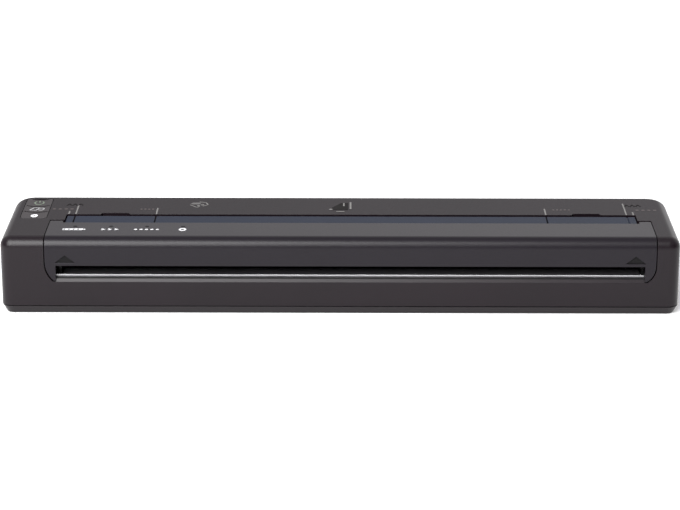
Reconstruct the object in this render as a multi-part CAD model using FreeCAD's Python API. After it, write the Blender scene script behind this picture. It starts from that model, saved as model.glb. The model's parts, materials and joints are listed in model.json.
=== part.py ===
import FreeCAD, Part
import math
import os

# A portable thermal printer for A4 sheets, in millimetres.
# X runs along the printer to the right, Y from the front to the back, Z up.
# The origin is under the middle of the printer, on the surface that its feet stand on.
# Sheets go down into the feed slot in the top, round the platen roller and out at the front.

# Overall body
body_width = 255.0
body_depth = 55.0
body_height = 30.0
top_edge_radius = 4.1
front_corner_radius = 4.4
rear_corner_radius = 7.9
wall = 2.0
foot_stand = 0.2
seam_z = 3.5
seam_groove = 0.3
bottom_bevel = 1.7
floor_thickness = 1.6
cut_over = 1.0

# Gaps between separate pieces
seam_gap = 0.35
slide_gap = 0.3
run_gap = 0.05

# Paper sizes that the marks along the slot show
paper_edge_margin = 2.9
paper_halving_share = math.sqrt(0.5)
mark_width = 0.6
mark_depth = 0.25

# Release cover
cover_left_inset = 16.9
cover_right_inset = 9.2
cover_step_back = 21.7
tongue_left_inset = 22.8
tongue_right_inset = 14.6
tongue_rear_back = 28.1
tongue_slit = 0.6
relief_length = 2.3
shoulder_gap = 1.4
feed_slot_width = 2.0
corner_curve_width = 3.3
left_curve_height = 7.5
right_curve_height = 6.0
curve_bulge_share = 0.28
curve_height_share = 0.42
slot_left_inset = 20.9
slot_right_inset = 13.2
slot_top_drop = 10.75
apron_top_drop = 17.1
lip_rise = 1.5
lip_depth = 1.15
lip_thickness = 1.2
cover_skirt_length = 11.0
cover_skirt_height = 9.0
cover_skirt_thickness = 1.2
cover_rib_count = 6

# Pull marks at the two ends of the cover's front
pull_mark_width = 7.6
pull_mark_height = 3.0
pull_mark_base_drop = 9.6
pull_mark_depth = 0.4
pull_mark_inset = 3.6

# Blue-grey strip along the feed slot
strip_width = 8.5
strip_thickness = 1.2
strip_fall = 0.1
strip_end_gap = 0.05

# Finger notches in the housing's edge at the feed slot
notch_left_inset = 40.9
notch_right_inset = 33.0
notch_front_width = 12.0
notch_rear_width = 10.0
notch_depth = 1.6
notch_height = 1.4

# Cover hinge and the frame inside the cover
hinge_back = 25.1
hinge_drop = 4.0
hinge_pin_radius = 1.0
hinge_pin_inset = 0.2
frame_sheet = 1.2
frame_front_back = 16.3
frame_rear_back = 27.3
frame_arm_low_drop = 10.0
latch_finger_front_back = 8.0
latch_finger_rear_back = 12.0
latch_finger_root_drop = 5.0
latch_finger_low_drop = 11.4
latch_stud_back = 10.0
latch_stud_drop = 9.6
latch_stud_radius = 0.9
latch_stud_length = 2.6

# Platen roller
platen_back = 19.5
platen_drop = 9.2
platen_radius = 5.0
platen_shaft_radius = 2.0
platen_end_gap = 1.4
platen_bush_radius = 3.0
bush_flange_radius = 3.6
bush_flange = 0.5

# Chassis side plates
side_sheet = 1.2
plate_front_back = 6.5
plate_rear_back = 33.5
plate_foot_z = 3.9
plate_seat_drop = 11.0
plate_pocket_front_back = 14.1
plate_pocket_rear_back = 22.8
plate_latch_drop = 6.8
plate_latch_slot = 2.6
hinge_post_rear_back = 30.3
hinge_post_shoulder_drop = 14.0
seat_radius = 3.3
chassis_plate_drop = 23.0
chassis_sheet = 1.0
chassis_front_back = 13.5
chassis_rear_back = 29.5
chassis_hole_radius = 4.5
chassis_hole_count = 9
latch_clip_sheet = 0.6
latch_clip_depth = 9.0
latch_clip_height = 2.2

# Print head
head_front_back = 14.5
head_rear_back = 24.9
heatsink_thickness = 3.0
heater_thickness = 1.0
heater_inset = 0.6
heater_gap = 0.3
head_rod_back = 28.0
head_rod_drop = 18.0
head_rod_radius = 1.0
head_lug_radius = 2.2
head_lug_width = 6.0
head_lug_count = 3
head_lug_share = 0.86
fin_depth = 1.2
fin_width = 1.0
fin_count = 4
spring_radius = 2.0
spring_wire = 0.25
spring_turns = 4
spring_count = 4
spring_share = 0.62
cable_width = 60.0
cable_thickness = 0.3
cable_front_back = 10.5
cable_landing = 2.4
cable_free_end = 1.2
cable_socket_wall = 0.9
cable_socket_gap = 0.7
cable_socket_floor = 0.5
cable_socket_height = 3.4

# Rear paper guide and exit guide
guide_sheet = 1.2
guide_bend_drop = 8.0
guide_mid_back = 29.0
guide_mid_drop = 11.8
guide_end_back = 25.7
guide_end_drop = 14.1
exit_guide_rear_back = 12.8
exit_guide_top_drop = 15.9
exit_guide_sheet = 1.0
exit_rib_count = 12
exit_rib_width = 1.0
exit_rib_depth = 1.3
tear_bar_back = 2.3
tear_bar_height = 1.3
tear_bar_sheet = 0.6
tear_bar_foot = 3.0
tear_bar_foot_sheet = 0.5

# Paper sensor and its lever
sensor_offset = 35.9
lever_back = 32.4
lever_drop = 16.6
lever_hub_radius = 0.95
lever_stub_radius = 0.6
lever_width = 1.0
lever_ear_gap = 0.9
lever_ear_width = 1.0
lever_ear_radius = 1.3
lever_tip_back = 27.7
lever_tip_drop = 11.4
lever_arm = 1.0
lever_flag_clear = 2.0
lever_window_width = 3.0
lever_window_low_drop = 14.6
lever_window_high_drop = 7.4
sensor_width = 7.0
sensor_depth = 3.0
sensor_height = 4.2
sensor_slot = 2.4
sensor_bridge = 1.2
sensor_front_back = 30.2

# Gears, motor and their posts
gear_module = 0.5
platen_teeth = 16
reduction_small_teeth = 14
reduction_large_teeth = 36
motor_teeth = 12
gear_backlash = 0.06
gear_root_extra = 0.25
pressure_angle = math.radians(20.0)
mesh_angle = math.radians(-47.0)
motor_mesh_angle = math.radians(-11.0)
centre_extra = 0.05
gear_side_gap = 0.3
platen_gear_width = 2.1
large_gear_width = 1.8
reduction_post_radius = 1.0
motor_radius = 7.5
motor_length = 12.2
motor_boss_radius = 3.0
motor_boss_height = 0.9
motor_shaft_radius = 0.75
motor_rear_cap = 0.8
bracket_left_inset = 15.3
bracket_sheet = 1.0
bracket_front_back = 22.0
bracket_rear_back = 45.0
bracket_foot_length = 6.0
motor_screw_pitch = 5.5

# Keys at the left end
key_panel_left_inset = 4.6
key_panel_right_inset = 15.1
key_panel_front_back = 24.7
key_panel_corner = 1.5
key_pitch = 8.33
key_count = 3
key_gap = 0.25
key_bulge = 0.7
key_height = 3.0
key_flange = 0.8
key_flange_reach = 0.4
key_flange_drop = 0.2
key_stem_radius = 1.0
key_stem_length = 1.6
key_dish_radius = 24.0
key_dish_depth = 0.35
keypad_board_drop = 7.2
keypad_board_thickness = 1.2
keypad_board_left_inset = 2.7
keypad_board_right_inset = 16.1
switch_size = 4.6
switch_height = 2.3
switch_well_radius = 1.25
switch_well_depth = 1.5
keypad_post_radius = 1.05

# Boards and connectors
board_z = 3.4
board_thickness = 1.2
main_board_left_inset = 32.5
main_board_right_inset = 32.5
main_board_front_back = 7.1
main_board_rear_back = 33.3
board_boss_radius = 2.2
chip_height = 1.1
indicator_first_inset = 27.15
indicator_pitch = 13.62
indicator_count = 4
indicator_back = 14.85
indicator_radius = 0.8
indicator_board_drop = 4.6
indicator_board_thickness = 1.0
indicator_board_front_back = 10.5
indicator_board_end = 2.6
interface_left_inset = 11.5
interface_right_inset = 2.3
interface_front_back = 23.5
interface_rear_back = 45.5
interface_z = 5.0
usb_back = 29.0
usb_width = 8.9
usb_height = 3.2
usb_depth = 7.4
usb_shell = 0.3
usb_tongue = 0.7
jack_back = 40.0
jack_width = 9.0
jack_height = 6.8
jack_depth = 10.2
jack_bore_radius = 2.9
jack_bore_depth = 8.6
jack_pin_radius = 0.9
jack_pin_short = 0.8
port_margin = 0.45
port_recess = 0.4

# Battery and its door
battery_left_inset = 31.5
battery_front_back = 34.2
battery_z = 6.2
battery_wall = 0.7
battery_right_inset = 28.1
battery_top_drop = 5.4
battery_rear_gap = 0.4
battery_corner_share = 0.7
cell_count = 3
cell_gap = 0.5
cradle_rib_count = 5
cradle_rib_width = 1.6
door_margin = 2.0
door_sheet = 1.7
door_top_drop = 4.9
door_low_z = 6.0
door_grip_count = 5
door_grip_pitch = 2.2
door_grip_width = 22.0
door_grip_depth = 0.5
door_hook_width = 8.0
door_hook_sheet = 0.8
door_hook_reach = 1.2
terminal_height = 9.0
terminal_sheet = 0.5
terminal_count = 3
terminal_pitch = 4.0
terminal_width = 1.6
terminal_block_length = 5.0
terminal_block_depth = 14.0

# Feet, bosses and screws
foot_length = 18.0
foot_width = 5.0
foot_recess = 0.8
foot_inset = 23.5
foot_edge_inset = 8.5
screw_radius = 1.0
screw_head_radius = 1.9
screw_head_height = 0.9
housing_boss_radius = 2.6
housing_web = 1.2
housing_boss_top_drop = 15.0
housing_boss_end_x = 6.0
housing_boss_end_y = 6.0
housing_screw_length = 9.0
housing_boss_mid_x = 60.0
board_screw_inset = 3.0
cover_screw_x = 70.0
cover_screw_back = 18.4
cover_screw_length = 2.4

# Places worked out from the sizes above
half_width = body_width / 2
half_depth = body_depth / 2
cover_left_x = cover_left_inset - half_width
tongue_left_x = tongue_left_inset - half_width
slot_left_x = slot_left_inset - half_width
notch_left_x = notch_left_inset - half_width
key_panel_left_x = key_panel_left_inset - half_width
key_panel_right_x = key_panel_right_inset - half_width
keypad_board_left_x = keypad_board_left_inset - half_width
keypad_board_right_x = keypad_board_right_inset - half_width
bracket_left_x = bracket_left_inset - half_width
indicator_first_x = indicator_first_inset - half_width
main_board_left_x = main_board_left_inset - half_width
battery_left_x = battery_left_inset - half_width
cover_right_x = half_width - cover_right_inset
tongue_right_x = half_width - tongue_right_inset
slot_right_x = half_width - slot_right_inset
notch_right_x = half_width - notch_right_inset
main_board_right_x = half_width - main_board_right_inset
interface_left_x = half_width - interface_left_inset
interface_right_x = half_width - interface_right_inset
foot_x = half_width - foot_inset
cover_step_y = cover_step_back - half_depth
tongue_rear_y = tongue_rear_back - half_depth
hinge_y = hinge_back - half_depth
frame_front_y = frame_front_back - half_depth
frame_rear_y = frame_rear_back - half_depth
latch_finger_front_y = latch_finger_front_back - half_depth
latch_finger_rear_y = latch_finger_rear_back - half_depth
latch_stud_y = latch_stud_back - half_depth
platen_y = platen_back - half_depth
plate_front_y = plate_front_back - half_depth
plate_rear_y = plate_rear_back - half_depth
plate_pocket_front_y = plate_pocket_front_back - half_depth
plate_pocket_rear_y = plate_pocket_rear_back - half_depth
hinge_post_rear_y = hinge_post_rear_back - half_depth
chassis_front_y = chassis_front_back - half_depth
chassis_rear_y = chassis_rear_back - half_depth
head_front_y = head_front_back - half_depth
head_rear_y = head_rear_back - half_depth
head_rod_y = head_rod_back - half_depth
cable_front_y = cable_front_back - half_depth
guide_mid_y = guide_mid_back - half_depth
guide_end_y = guide_end_back - half_depth
exit_guide_rear_y = exit_guide_rear_back - half_depth
tear_bar_y = tear_bar_back - half_depth
lever_y = lever_back - half_depth
lever_tip_y = lever_tip_back - half_depth
sensor_front_y = sensor_front_back - half_depth
bracket_front_y = bracket_front_back - half_depth
bracket_rear_y = bracket_rear_back - half_depth
key_panel_front_y = key_panel_front_back - half_depth
main_board_front_y = main_board_front_back - half_depth
main_board_rear_y = main_board_rear_back - half_depth
indicator_y = indicator_back - half_depth
indicator_board_front_y = indicator_board_front_back - half_depth
interface_front_y = interface_front_back - half_depth
interface_rear_y = interface_rear_back - half_depth
usb_y = usb_back - half_depth
jack_y = jack_back - half_depth
cover_screw_y = cover_screw_back - half_depth
battery_front_y = battery_front_back - half_depth
foot_y = half_depth - foot_edge_inset
hinge_z = body_height - hinge_drop
frame_arm_low_z = body_height - frame_arm_low_drop
latch_finger_root_z = body_height - latch_finger_root_drop
latch_finger_low_z = body_height - latch_finger_low_drop
latch_stud_z = body_height - latch_stud_drop
platen_z = body_height - platen_drop
plate_seat_z = body_height - plate_seat_drop
plate_latch_z = body_height - plate_latch_drop
hinge_post_shoulder_z = body_height - hinge_post_shoulder_drop
guide_bend_z = body_height - guide_bend_drop
guide_mid_z = body_height - guide_mid_drop
guide_end_z = body_height - guide_end_drop
slot_top_z = body_height - slot_top_drop
apron_top_z = body_height - apron_top_drop
pull_mark_base_z = body_height - pull_mark_base_drop
head_rod_z = body_height - head_rod_drop
exit_guide_top_z = body_height - exit_guide_top_drop
lever_z = body_height - lever_drop
lever_tip_z = body_height - lever_tip_drop
lever_window_low_z = body_height - lever_window_low_drop
lever_window_high_z = body_height - lever_window_high_drop
keypad_board_z = body_height - keypad_board_drop
indicator_board_z = body_height - indicator_board_drop
door_top_z = body_height - door_top_drop
chassis_plate_z = body_height - chassis_plate_drop
housing_boss_top_z = body_height - housing_boss_top_drop
top_inner_z = body_height - wall
front_inner_y = wall - half_depth
rear_inner_y = half_depth - wall
floor_z = foot_stand + floor_thickness
housing_edge_y = tongue_rear_y + feed_slot_width
shoulder_front_y = cover_step_y + shoulder_gap
shoulder_left_x = tongue_left_x - tongue_slit
shoulder_right_x = tongue_right_x + tongue_slit
strip_front_y = tongue_rear_y - strip_width
strip_seat_z = body_height - strip_thickness
left_arm_x = tongue_left_x
right_arm_x = tongue_right_x - frame_sheet
left_plate_x = shoulder_left_x - side_sheet + slide_gap
right_plate_x = shoulder_right_x
rubber_left_x = left_arm_x + frame_sheet + platen_end_gap
rubber_right_x = right_arm_x - platen_end_gap
heatsink_left_x = left_arm_x + frame_sheet + platen_end_gap / 2
heatsink_right_x = right_arm_x - platen_end_gap / 2
heater_top_z = platen_z - platen_radius - heater_gap
heatsink_top_z = heater_top_z - heater_thickness
head_bottom_z = heatsink_top_z - heatsink_thickness
chassis_top_z = chassis_plate_z + chassis_sheet
board_top_z = board_z + board_thickness
keypad_board_top_z = keypad_board_z + keypad_board_thickness
key_panel_rear_y = key_panel_front_y + key_pitch * key_count
battery_height = body_height - battery_top_drop - battery_z
battery_depth = rear_inner_y - battery_rear_gap - battery_front_y
battery_right_x = half_width - battery_right_inset
battery_room = battery_right_x - battery_left_x - 2 * battery_wall
cell_length = (battery_room - (cell_count + 1) * cell_gap) / cell_count
cell_radius = min(battery_depth, battery_height) / 2 - battery_wall
battery_corner = cell_radius * battery_corner_share
door_left_x = battery_left_x - door_margin
door_right_x = battery_right_x + door_margin
interface_top_z = interface_z + board_thickness
paper_centre_x = (tongue_left_x + tongue_right_x) / 2
wide_paper_half = (tongue_right_x - tongue_left_x) / 2 - paper_edge_margin
narrow_paper_half = wide_paper_half * paper_halving_share
spring_y = platen_y
tear_bar_low_z = exit_guide_top_z
sensor_x = paper_centre_x + sensor_offset
lever_flag_low_z = board_top_z + lever_flag_clear
jack_axis_z = interface_top_z + jack_height / 2
usb_axis_z = interface_top_z + usb_height / 2
platen_gear_right_x = left_plate_x - gear_side_gap
platen_gear_left_x = platen_gear_right_x - platen_gear_width
large_gear_right_x = platen_gear_left_x - gear_side_gap
large_gear_left_x = large_gear_right_x - large_gear_width
bracket_right_x = bracket_left_x + bracket_sheet
small_centre = gear_module * (platen_teeth + reduction_small_teeth) / 2 + centre_extra
large_centre = gear_module * (motor_teeth + reduction_large_teeth) / 2 + centre_extra
reduction_y = platen_y + small_centre * math.cos(mesh_angle)
reduction_z = platen_z + small_centre * math.sin(mesh_angle)
motor_y = reduction_y + large_centre * math.cos(motor_mesh_angle)
motor_z = reduction_z + large_centre * math.sin(motor_mesh_angle)
indicator_last_x = indicator_first_x + indicator_pitch * (indicator_count - 1)

Vector = FreeCAD.Vector
X_AXIS = Vector(1, 0, 0)
Y_AXIS = Vector(0, 1, 0)
Z_AXIS = Vector(0, 0, 1)


# Small makers that the pieces share

def block(x0, x1, y0, y1, z0, z1):
    return Part.makeBox(x1 - x0, y1 - y0, z1 - z0, Vector(x0, y0, z0))


def round_block(x0, x1, y0, y1, z0, z1, radius):
    solid = block(x0, x1, y0, y1, z0, z1)
    upright = [e for e in solid.Edges if abs(e.tangentAt(e.FirstParameter).z) > 0.9]
    return solid.makeFillet(radius, upright)


def rod_x(x0, x1, y, z, radius):
    return Part.makeCylinder(radius, x1 - x0, Vector(x0, y, z), X_AXIS)


def rod_y(y0, y1, x, z, radius):
    return Part.makeCylinder(radius, y1 - y0, Vector(x, y0, z), Y_AXIS)


def rod_z(z0, z1, x, y, radius):
    return Part.makeCylinder(radius, z1 - z0, Vector(x, y, z0), Z_AXIS)


def prism_x(points, x0, x1):
    corners = [Vector(x0, y, z) for y, z in points]
    face = Part.Face(Part.makePolygon(corners + corners[:1]))
    return face.extrude(Vector(x1 - x0, 0, 0))


def prism_y(points, y0, y1):
    corners = [Vector(x, y0, z) for x, z in points]
    face = Part.Face(Part.makePolygon(corners + corners[:1]))
    return face.extrude(Vector(0, y1 - y0, 0))


def prism_z(points, z0, z1):
    corners = [Vector(x, y, z0) for x, y in points]
    face = Part.Face(Part.makePolygon(corners + corners[:1]))
    return face.extrude(Vector(0, 0, z1 - z0))


def joined(shapes):
    solid = shapes[0].fuse(shapes[1:]) if len(shapes) > 1 else shapes[0]
    return solid.removeSplitter()


def grouped(shapes):
    return Part.makeCompound(shapes)


def spread(first, last, count):
    return [first + (last - first) * i / (count - 1) for i in range(count)]


# The outer form of the body

def plan_wire(inset, z):
    left = inset - half_width
    right = half_width - inset
    front = inset - half_depth
    rear = half_depth - inset
    rf = front_corner_radius - inset
    rr = rear_corner_radius - inset
    diagonal = 1 - math.sqrt(0.5)

    def corner(x, y, sx, sy, radius):
        # The arc at the corner (x, y), whose sides run towards sx and sy, from the X side to the Y side.
        start = Vector(x + sx * radius, y, z)
        middle = Vector(x + sx * radius * diagonal, y + sy * radius * diagonal, z)
        end = Vector(x, y + sy * radius, z)
        return start, middle, end

    a = corner(left, front, 1, 1, rf)
    b = corner(right, front, -1, 1, rf)
    c = corner(right, rear, -1, -1, rr)
    d = corner(left, rear, 1, -1, rr)
    edges = [
        Part.LineSegment(a[0], b[0]).toShape(),
        Part.Arc(b[0], b[1], b[2]).toShape(),
        Part.LineSegment(b[2], c[2]).toShape(),
        Part.Arc(c[2], c[1], c[0]).toShape(),
        Part.LineSegment(c[0], d[0]).toShape(),
        Part.Arc(d[0], d[1], d[2]).toShape(),
        Part.LineSegment(d[2], a[2]).toShape(),
        Part.Arc(a[2], a[1], a[0]).toShape(),
    ]
    return Part.Wire(edges)


def plan_solid(inset, z0, z1):
    return Part.Face(plan_wire(inset, z0)).extrude(Vector(0, 0, z1 - z0))


def envelope(inset, z0):
    top = body_height - inset
    solid = plan_solid(inset, z0, top)
    rim = [e for e in solid.Edges if e.BoundBox.ZMin > top - cut_over / 2]
    return solid.makeFillet(top_edge_radius - inset, rim)


def body_shell():
    return envelope(0, seam_z).cut(envelope(wall, seam_z - cut_over))


# The release cover's outline, seen from above and from the front

def cover_plan(grow, step_y, tongue_grow, rear_y):
    front = -half_depth - cut_over
    left = cover_left_x - grow
    right = cover_right_x + grow
    points = [
        (left, front),
        (left, step_y),
        (tongue_left_x - tongue_grow, step_y),
        (tongue_left_x - tongue_grow, rear_y),
        (tongue_right_x + tongue_grow, rear_y),
        (tongue_right_x + tongue_grow, step_y),
        (right, step_y),
        (right, front),
    ]
    return prism_z(points, seam_z - cut_over, body_height + cut_over)


def cover_front(grow):
    left = cover_left_x - grow
    right = cover_right_x + grow
    low = apron_top_z + seam_gap - grow
    top = body_height + cut_over
    y = -half_depth - cut_over
    bulge = corner_curve_width * curve_bulge_share
    left_mid = Vector(left + bulge, y, low + left_curve_height * curve_height_share)
    right_mid = Vector(right - bulge, y, low + right_curve_height * curve_height_share)
    p = [
        Vector(left, y, top),
        Vector(left, y, low + left_curve_height),
        Vector(left + corner_curve_width, y, low),
        Vector(right - corner_curve_width, y, low),
        Vector(right, y, low + right_curve_height),
        Vector(right, y, top),
    ]
    edges = [
        Part.LineSegment(p[0], p[1]).toShape(),
        Part.Arc(p[1], left_mid, p[2]).toShape(),
        Part.LineSegment(p[2], p[3]).toShape(),
        Part.Arc(p[3], right_mid, p[4]).toShape(),
        Part.LineSegment(p[4], p[5]).toShape(),
        Part.LineSegment(p[5], p[0]).toShape(),
    ]
    return Part.Face(Part.Wire(edges)).extrude(Vector(0, body_depth, 0))


def housing_screw_places():
    end_x = half_width - housing_boss_end_x
    end_y = half_depth - housing_boss_end_y
    front_y = front_inner_y + housing_boss_radius * 0.8
    corners = [(-end_x, -end_y), (end_x, -end_y), (-end_x, end_y), (end_x, end_y)]
    return corners + [(-housing_boss_mid_x, front_y), (housing_boss_mid_x, front_y)]


# Upper housing: rear top, end caps, rear wall and front apron in one shell

def key_opening(grow, z0, z1):
    return round_block(
        key_panel_left_x - grow, key_panel_right_x + grow, key_panel_front_y - grow, key_panel_rear_y + grow,
        z0, z1, key_panel_corner + grow)


def feed_notch(x):
    front = housing_edge_y - cut_over
    points = [
        (x - notch_front_width / 2, front),
        (x + notch_front_width / 2, front),
        (x + notch_rear_width / 2, housing_edge_y + notch_depth),
        (x - notch_rear_width / 2, housing_edge_y + notch_depth),
    ]
    return prism_z(points, body_height - notch_height, body_height + cut_over)


def size_marks(y0, y1, z0, z1):
    marks = []
    for half in (wide_paper_half, narrow_paper_half):
        for side in (-1, 1):
            x = paper_centre_x + side * half
            marks.append(block(x - mark_width / 2, x + mark_width / 2, y0, y1, z0, z1))
    return marks


def make_upper_housing():
    shell = body_shell()
    opening = cover_plan(seam_gap, shoulder_front_y, tongue_slit, housing_edge_y)
    opening = opening.common(cover_front(seam_gap))
    shell = shell.cut(opening)
    shell = shell.cut([
        key_opening(0, top_inner_z - cut_over, body_height + cut_over),
        feed_notch(notch_left_x),
        feed_notch(notch_right_x),
        round_block(
            interface_right_x, half_width + cut_over, usb_y - usb_width / 2 - port_margin,
            usb_y + usb_width / 2 + port_margin, usb_axis_z - usb_height / 2 - port_margin,
            usb_axis_z + usb_height / 2 + port_margin, port_margin),
        rod_x(interface_right_x, half_width + cut_over, jack_y, jack_axis_z, jack_bore_radius + port_margin),
        block(door_left_x, door_right_x, rear_inner_y - cut_over, half_depth + cut_over, door_low_z,
            door_top_z),
    ])
    lip = prism_x([
        (-half_depth, apron_top_z),
        (lip_depth - half_depth, apron_top_z + lip_rise),
        (front_inner_y, apron_top_z + lip_rise),
        (front_inner_y, apron_top_z - lip_thickness),
        (-half_depth, apron_top_z - lip_thickness),
    ], slot_left_x, slot_right_x)
    left_wall = block(
        cover_left_x - seam_gap - cover_skirt_thickness, cover_left_x - seam_gap,
        front_inner_y + lip_thickness + slide_gap, bracket_front_y - cut_over, seam_z, top_inner_z)
    right_wall = block(
        cover_right_x + seam_gap, cover_right_x + seam_gap + cover_skirt_thickness,
        front_inner_y, shoulder_front_y, seam_z, top_inner_z)
    added = [lip, left_wall, right_wall]
    inner = envelope(wall / 2, seam_z)
    web = housing_web / 2
    for x, y in housing_screw_places():
        top = housing_boss_top_z if abs(x) > housing_boss_mid_x else apron_top_z - lip_thickness
        added.append(rod_z(seam_z, top, x, y, housing_boss_radius).common(inner))
        if abs(x) > housing_boss_mid_x:
            side_x = math.copysign(half_width, x)
            side_y = math.copysign(half_depth, y)
            added.append(block(min(x, side_x), max(x, side_x), y - web, y + web, seam_z, top).common(inner))
            added.append(block(x - web, x + web, min(y, side_y), max(y, side_y), seam_z, top).common(inner))
    post_x = keypad_board_left_x + keypad_post_radius * 0.1
    for y in (key_panel_front_y + key_pitch / 2, key_panel_rear_y - key_pitch / 2):
        added.append(rod_z(keypad_board_top_z, top_inner_z + wall / 2, post_x, y,
            keypad_post_radius).common(inner))
    solid = joined([shell] + added)
    for x, y in housing_screw_places():
        solid = solid.cut(rod_z(seam_z - cut_over, foot_stand + housing_screw_length, x, y, screw_radius))
    return solid.removeSplitter()


# Lower housing: the shallow tray with bevelled sides under the parting line

def make_lower_housing():
    rim_z = seam_z - seam_groove
    bevel = Part.makeLoft([plan_wire(bottom_bevel, foot_stand), plan_wire(0, rim_z)], True, True)
    tray = bevel.cut(plan_solid(wall * 1.5, floor_z, rim_z + cut_over))
    inset = wall + run_gap
    lip = plan_solid(inset, floor_z, seam_z + lip_thickness).cut(
        plan_solid(inset + lip_thickness, floor_z - cut_over, seam_z + cut_over * 2))
    keep_clear = [
        rod_z(floor_z, seam_z + cut_over * 2, x, y, housing_boss_radius + slide_gap) for x,
        y in housing_screw_places()
    ]
    web = housing_web / 2 + slide_gap
    for x, y in housing_screw_places():
        keep_clear.append(block(x - web, x + web, min(y, 0), max(y, 0), seam_z, body_height).mirror(
            Vector(x, y, 0), Y_AXIS))
        keep_clear.append(block(min(x, 0), max(x, 0), y - web, y + web, seam_z, body_height).mirror(
            Vector(x, y, 0), X_AXIS))
    wall_x = cover_right_x + seam_gap
    keep_clear.append(block(
        wall_x - slide_gap, wall_x + cover_skirt_thickness + slide_gap, -half_depth, shoulder_front_y, seam_z,
        body_height))
    lip = lip.cut(keep_clear)
    added = []
    for plate_x in (left_plate_x, right_plate_x):
        added.append(block(
            plate_x - side_sheet / 2, plate_x + side_sheet * 1.5, plate_front_y, plate_rear_y, floor_z,
            plate_foot_z))
    for x, y in board_screw_places():
        added.append(rod_z(floor_z, board_z, x, y, board_boss_radius))
    for x in (interface_left_x + board_boss_radius, interface_right_x - board_boss_radius):
        for y in (interface_front_y + board_boss_radius, interface_rear_y - board_boss_radius):
            added.append(rod_z(floor_z, interface_z, x, y, board_boss_radius))
    for x in spread(battery_left_x + door_margin, battery_right_x - door_margin, cradle_rib_count):
        added.append(block(
            x - cradle_rib_width / 2, x + cradle_rib_width / 2, battery_front_y, rear_inner_y - wall, floor_z,
            battery_z))
    added.append(block(
        battery_right_x + terminal_sheet, battery_right_x + terminal_sheet + terminal_block_length,
        battery_front_y, battery_front_y + terminal_block_depth, floor_z, battery_z))
    for x, y in housing_screw_places():
        added.append(rod_z(floor_z, seam_z, x, y, housing_boss_radius))
    solid = joined([tray, lip] + added)
    cuts = []
    for x, y in housing_screw_places():
        cuts.append(rod_z(foot_stand - cut_over, seam_z + cut_over, x, y, screw_radius + run_gap))
        cuts.append(rod_z(foot_stand - cut_over, foot_stand + screw_head_height, x, y,
            screw_head_radius + run_gap))
    for x, y in board_screw_places():
        cuts.append(rod_z(floor_z, board_z + cut_over, x, y, screw_radius))
    for x, y in foot_places():
        cuts.append(foot_pad(x, y, foot_stand - cut_over, foot_stand + foot_recess))
    return solid.cut(cuts).removeSplitter()


def foot_places():
    return [(sx * foot_x, sy * foot_y) for sx in (-1, 1) for sy in (-1, 1)]


def foot_pad(x, y, z0, z1):
    return round_block(
        x - foot_length / 2, x + foot_length / 2, y - foot_width / 2, y + foot_width / 2, z0, z1,
        foot_width * 0.45)


def make_rubber_feet():
    return grouped([foot_pad(x, y, 0, foot_stand + foot_recess) for x, y in foot_places()])


# Release cover with its feed lip strip and its frame

def make_release_cover():
    outline = cover_plan(0, cover_step_y, 0, tongue_rear_y).common(cover_front(0))
    shell = body_shell().common(outline)
    shell = shell.cut([
        block(slot_left_x, slot_right_x, -half_depth - cut_over, front_inner_y + cut_over, seam_z,
            slot_top_z),
        block(
            tongue_left_x - cut_over, tongue_right_x + cut_over, strip_front_y, tongue_rear_y + cut_over,
            strip_seat_z, body_height + cut_over),
    ])
    swing = math.hypot(cover_step_y - hinge_y, body_height - hinge_z)
    wings = []
    for x0, x1 in ((cover_left_x - cut_over, tongue_left_x), (tongue_right_x, cover_right_x + cut_over)):
        wings.append(rod_x(x0, x1, hinge_y, hinge_z, swing))
    for x0, x1 in ((shoulder_left_x, tongue_left_x), (tongue_right_x, shoulder_right_x)):
        wings.append(block(
            x0, x1, cover_step_y - relief_length, cover_step_y + cut_over, top_inner_z - cut_over,
            body_height + cut_over))
    shell = shell.cut(wings)
    skirt_rear = front_inner_y + cover_skirt_length
    skirts = [
        block(x0, x0 + cover_skirt_thickness, front_inner_y, skirt_rear, top_inner_z - cover_skirt_height,
              top_inner_z)
        for x0 in (cover_left_x, cover_right_x - cover_skirt_thickness)
    ]
    ribs = [
        block(x - exit_rib_width / 2, x + exit_rib_width / 2, front_inner_y, frame_front_y - slide_gap,
              top_inner_z - wall, top_inner_z)
        for x in spread(indicator_last_x + indicator_board_end * 3, right_arm_x - wall, cover_rib_count)
    ]
    mounts = [
        rod_z(indicator_board_z + indicator_board_thickness, top_inner_z, x,
            indicator_board_front_y + wall, wall / 2)
        for x in (indicator_first_x + indicator_pitch / 2, indicator_last_x - indicator_pitch / 2)
    ]
    solid = joined([shell] + skirts + ribs + mounts)
    cuts = []
    for i in range(indicator_count):
        x = indicator_first_x + indicator_pitch * i
        cuts.append(rod_z(top_inner_z - cut_over, body_height + cut_over, x, indicator_y,
            indicator_radius + run_gap))
    for x in cover_screw_places():
        cuts.append(rod_z(top_inner_z - cut_over, top_inner_z + cover_screw_length / 2, x, cover_screw_y,
            screw_radius))
    for x in (slot_left_x + pull_mark_inset, slot_right_x - pull_mark_inset):
        cuts.append(prism_y([
            (x - pull_mark_width / 2, pull_mark_base_z),
            (x + pull_mark_width / 2, pull_mark_base_z),
            (x, pull_mark_base_z + pull_mark_height),
        ], -half_depth - cut_over, pull_mark_depth - half_depth))
    return solid.cut(cuts).removeSplitter()


def make_feed_lip_strip():
    strip = prism_x([
        (strip_front_y, strip_seat_z),
        (tongue_rear_y, strip_seat_z),
        (tongue_rear_y, body_height - strip_fall * 1.6),
        (tongue_rear_y - strip_fall, body_height - strip_fall),
        (strip_front_y, body_height),
    ], tongue_left_x + strip_end_gap, tongue_right_x - strip_end_gap)
    grooves = size_marks(
        strip_front_y - cut_over, tongue_rear_y + cut_over, body_height - strip_fall - mark_depth,
        body_height + cut_over)
    return strip.cut(grooves).removeSplitter()


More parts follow.
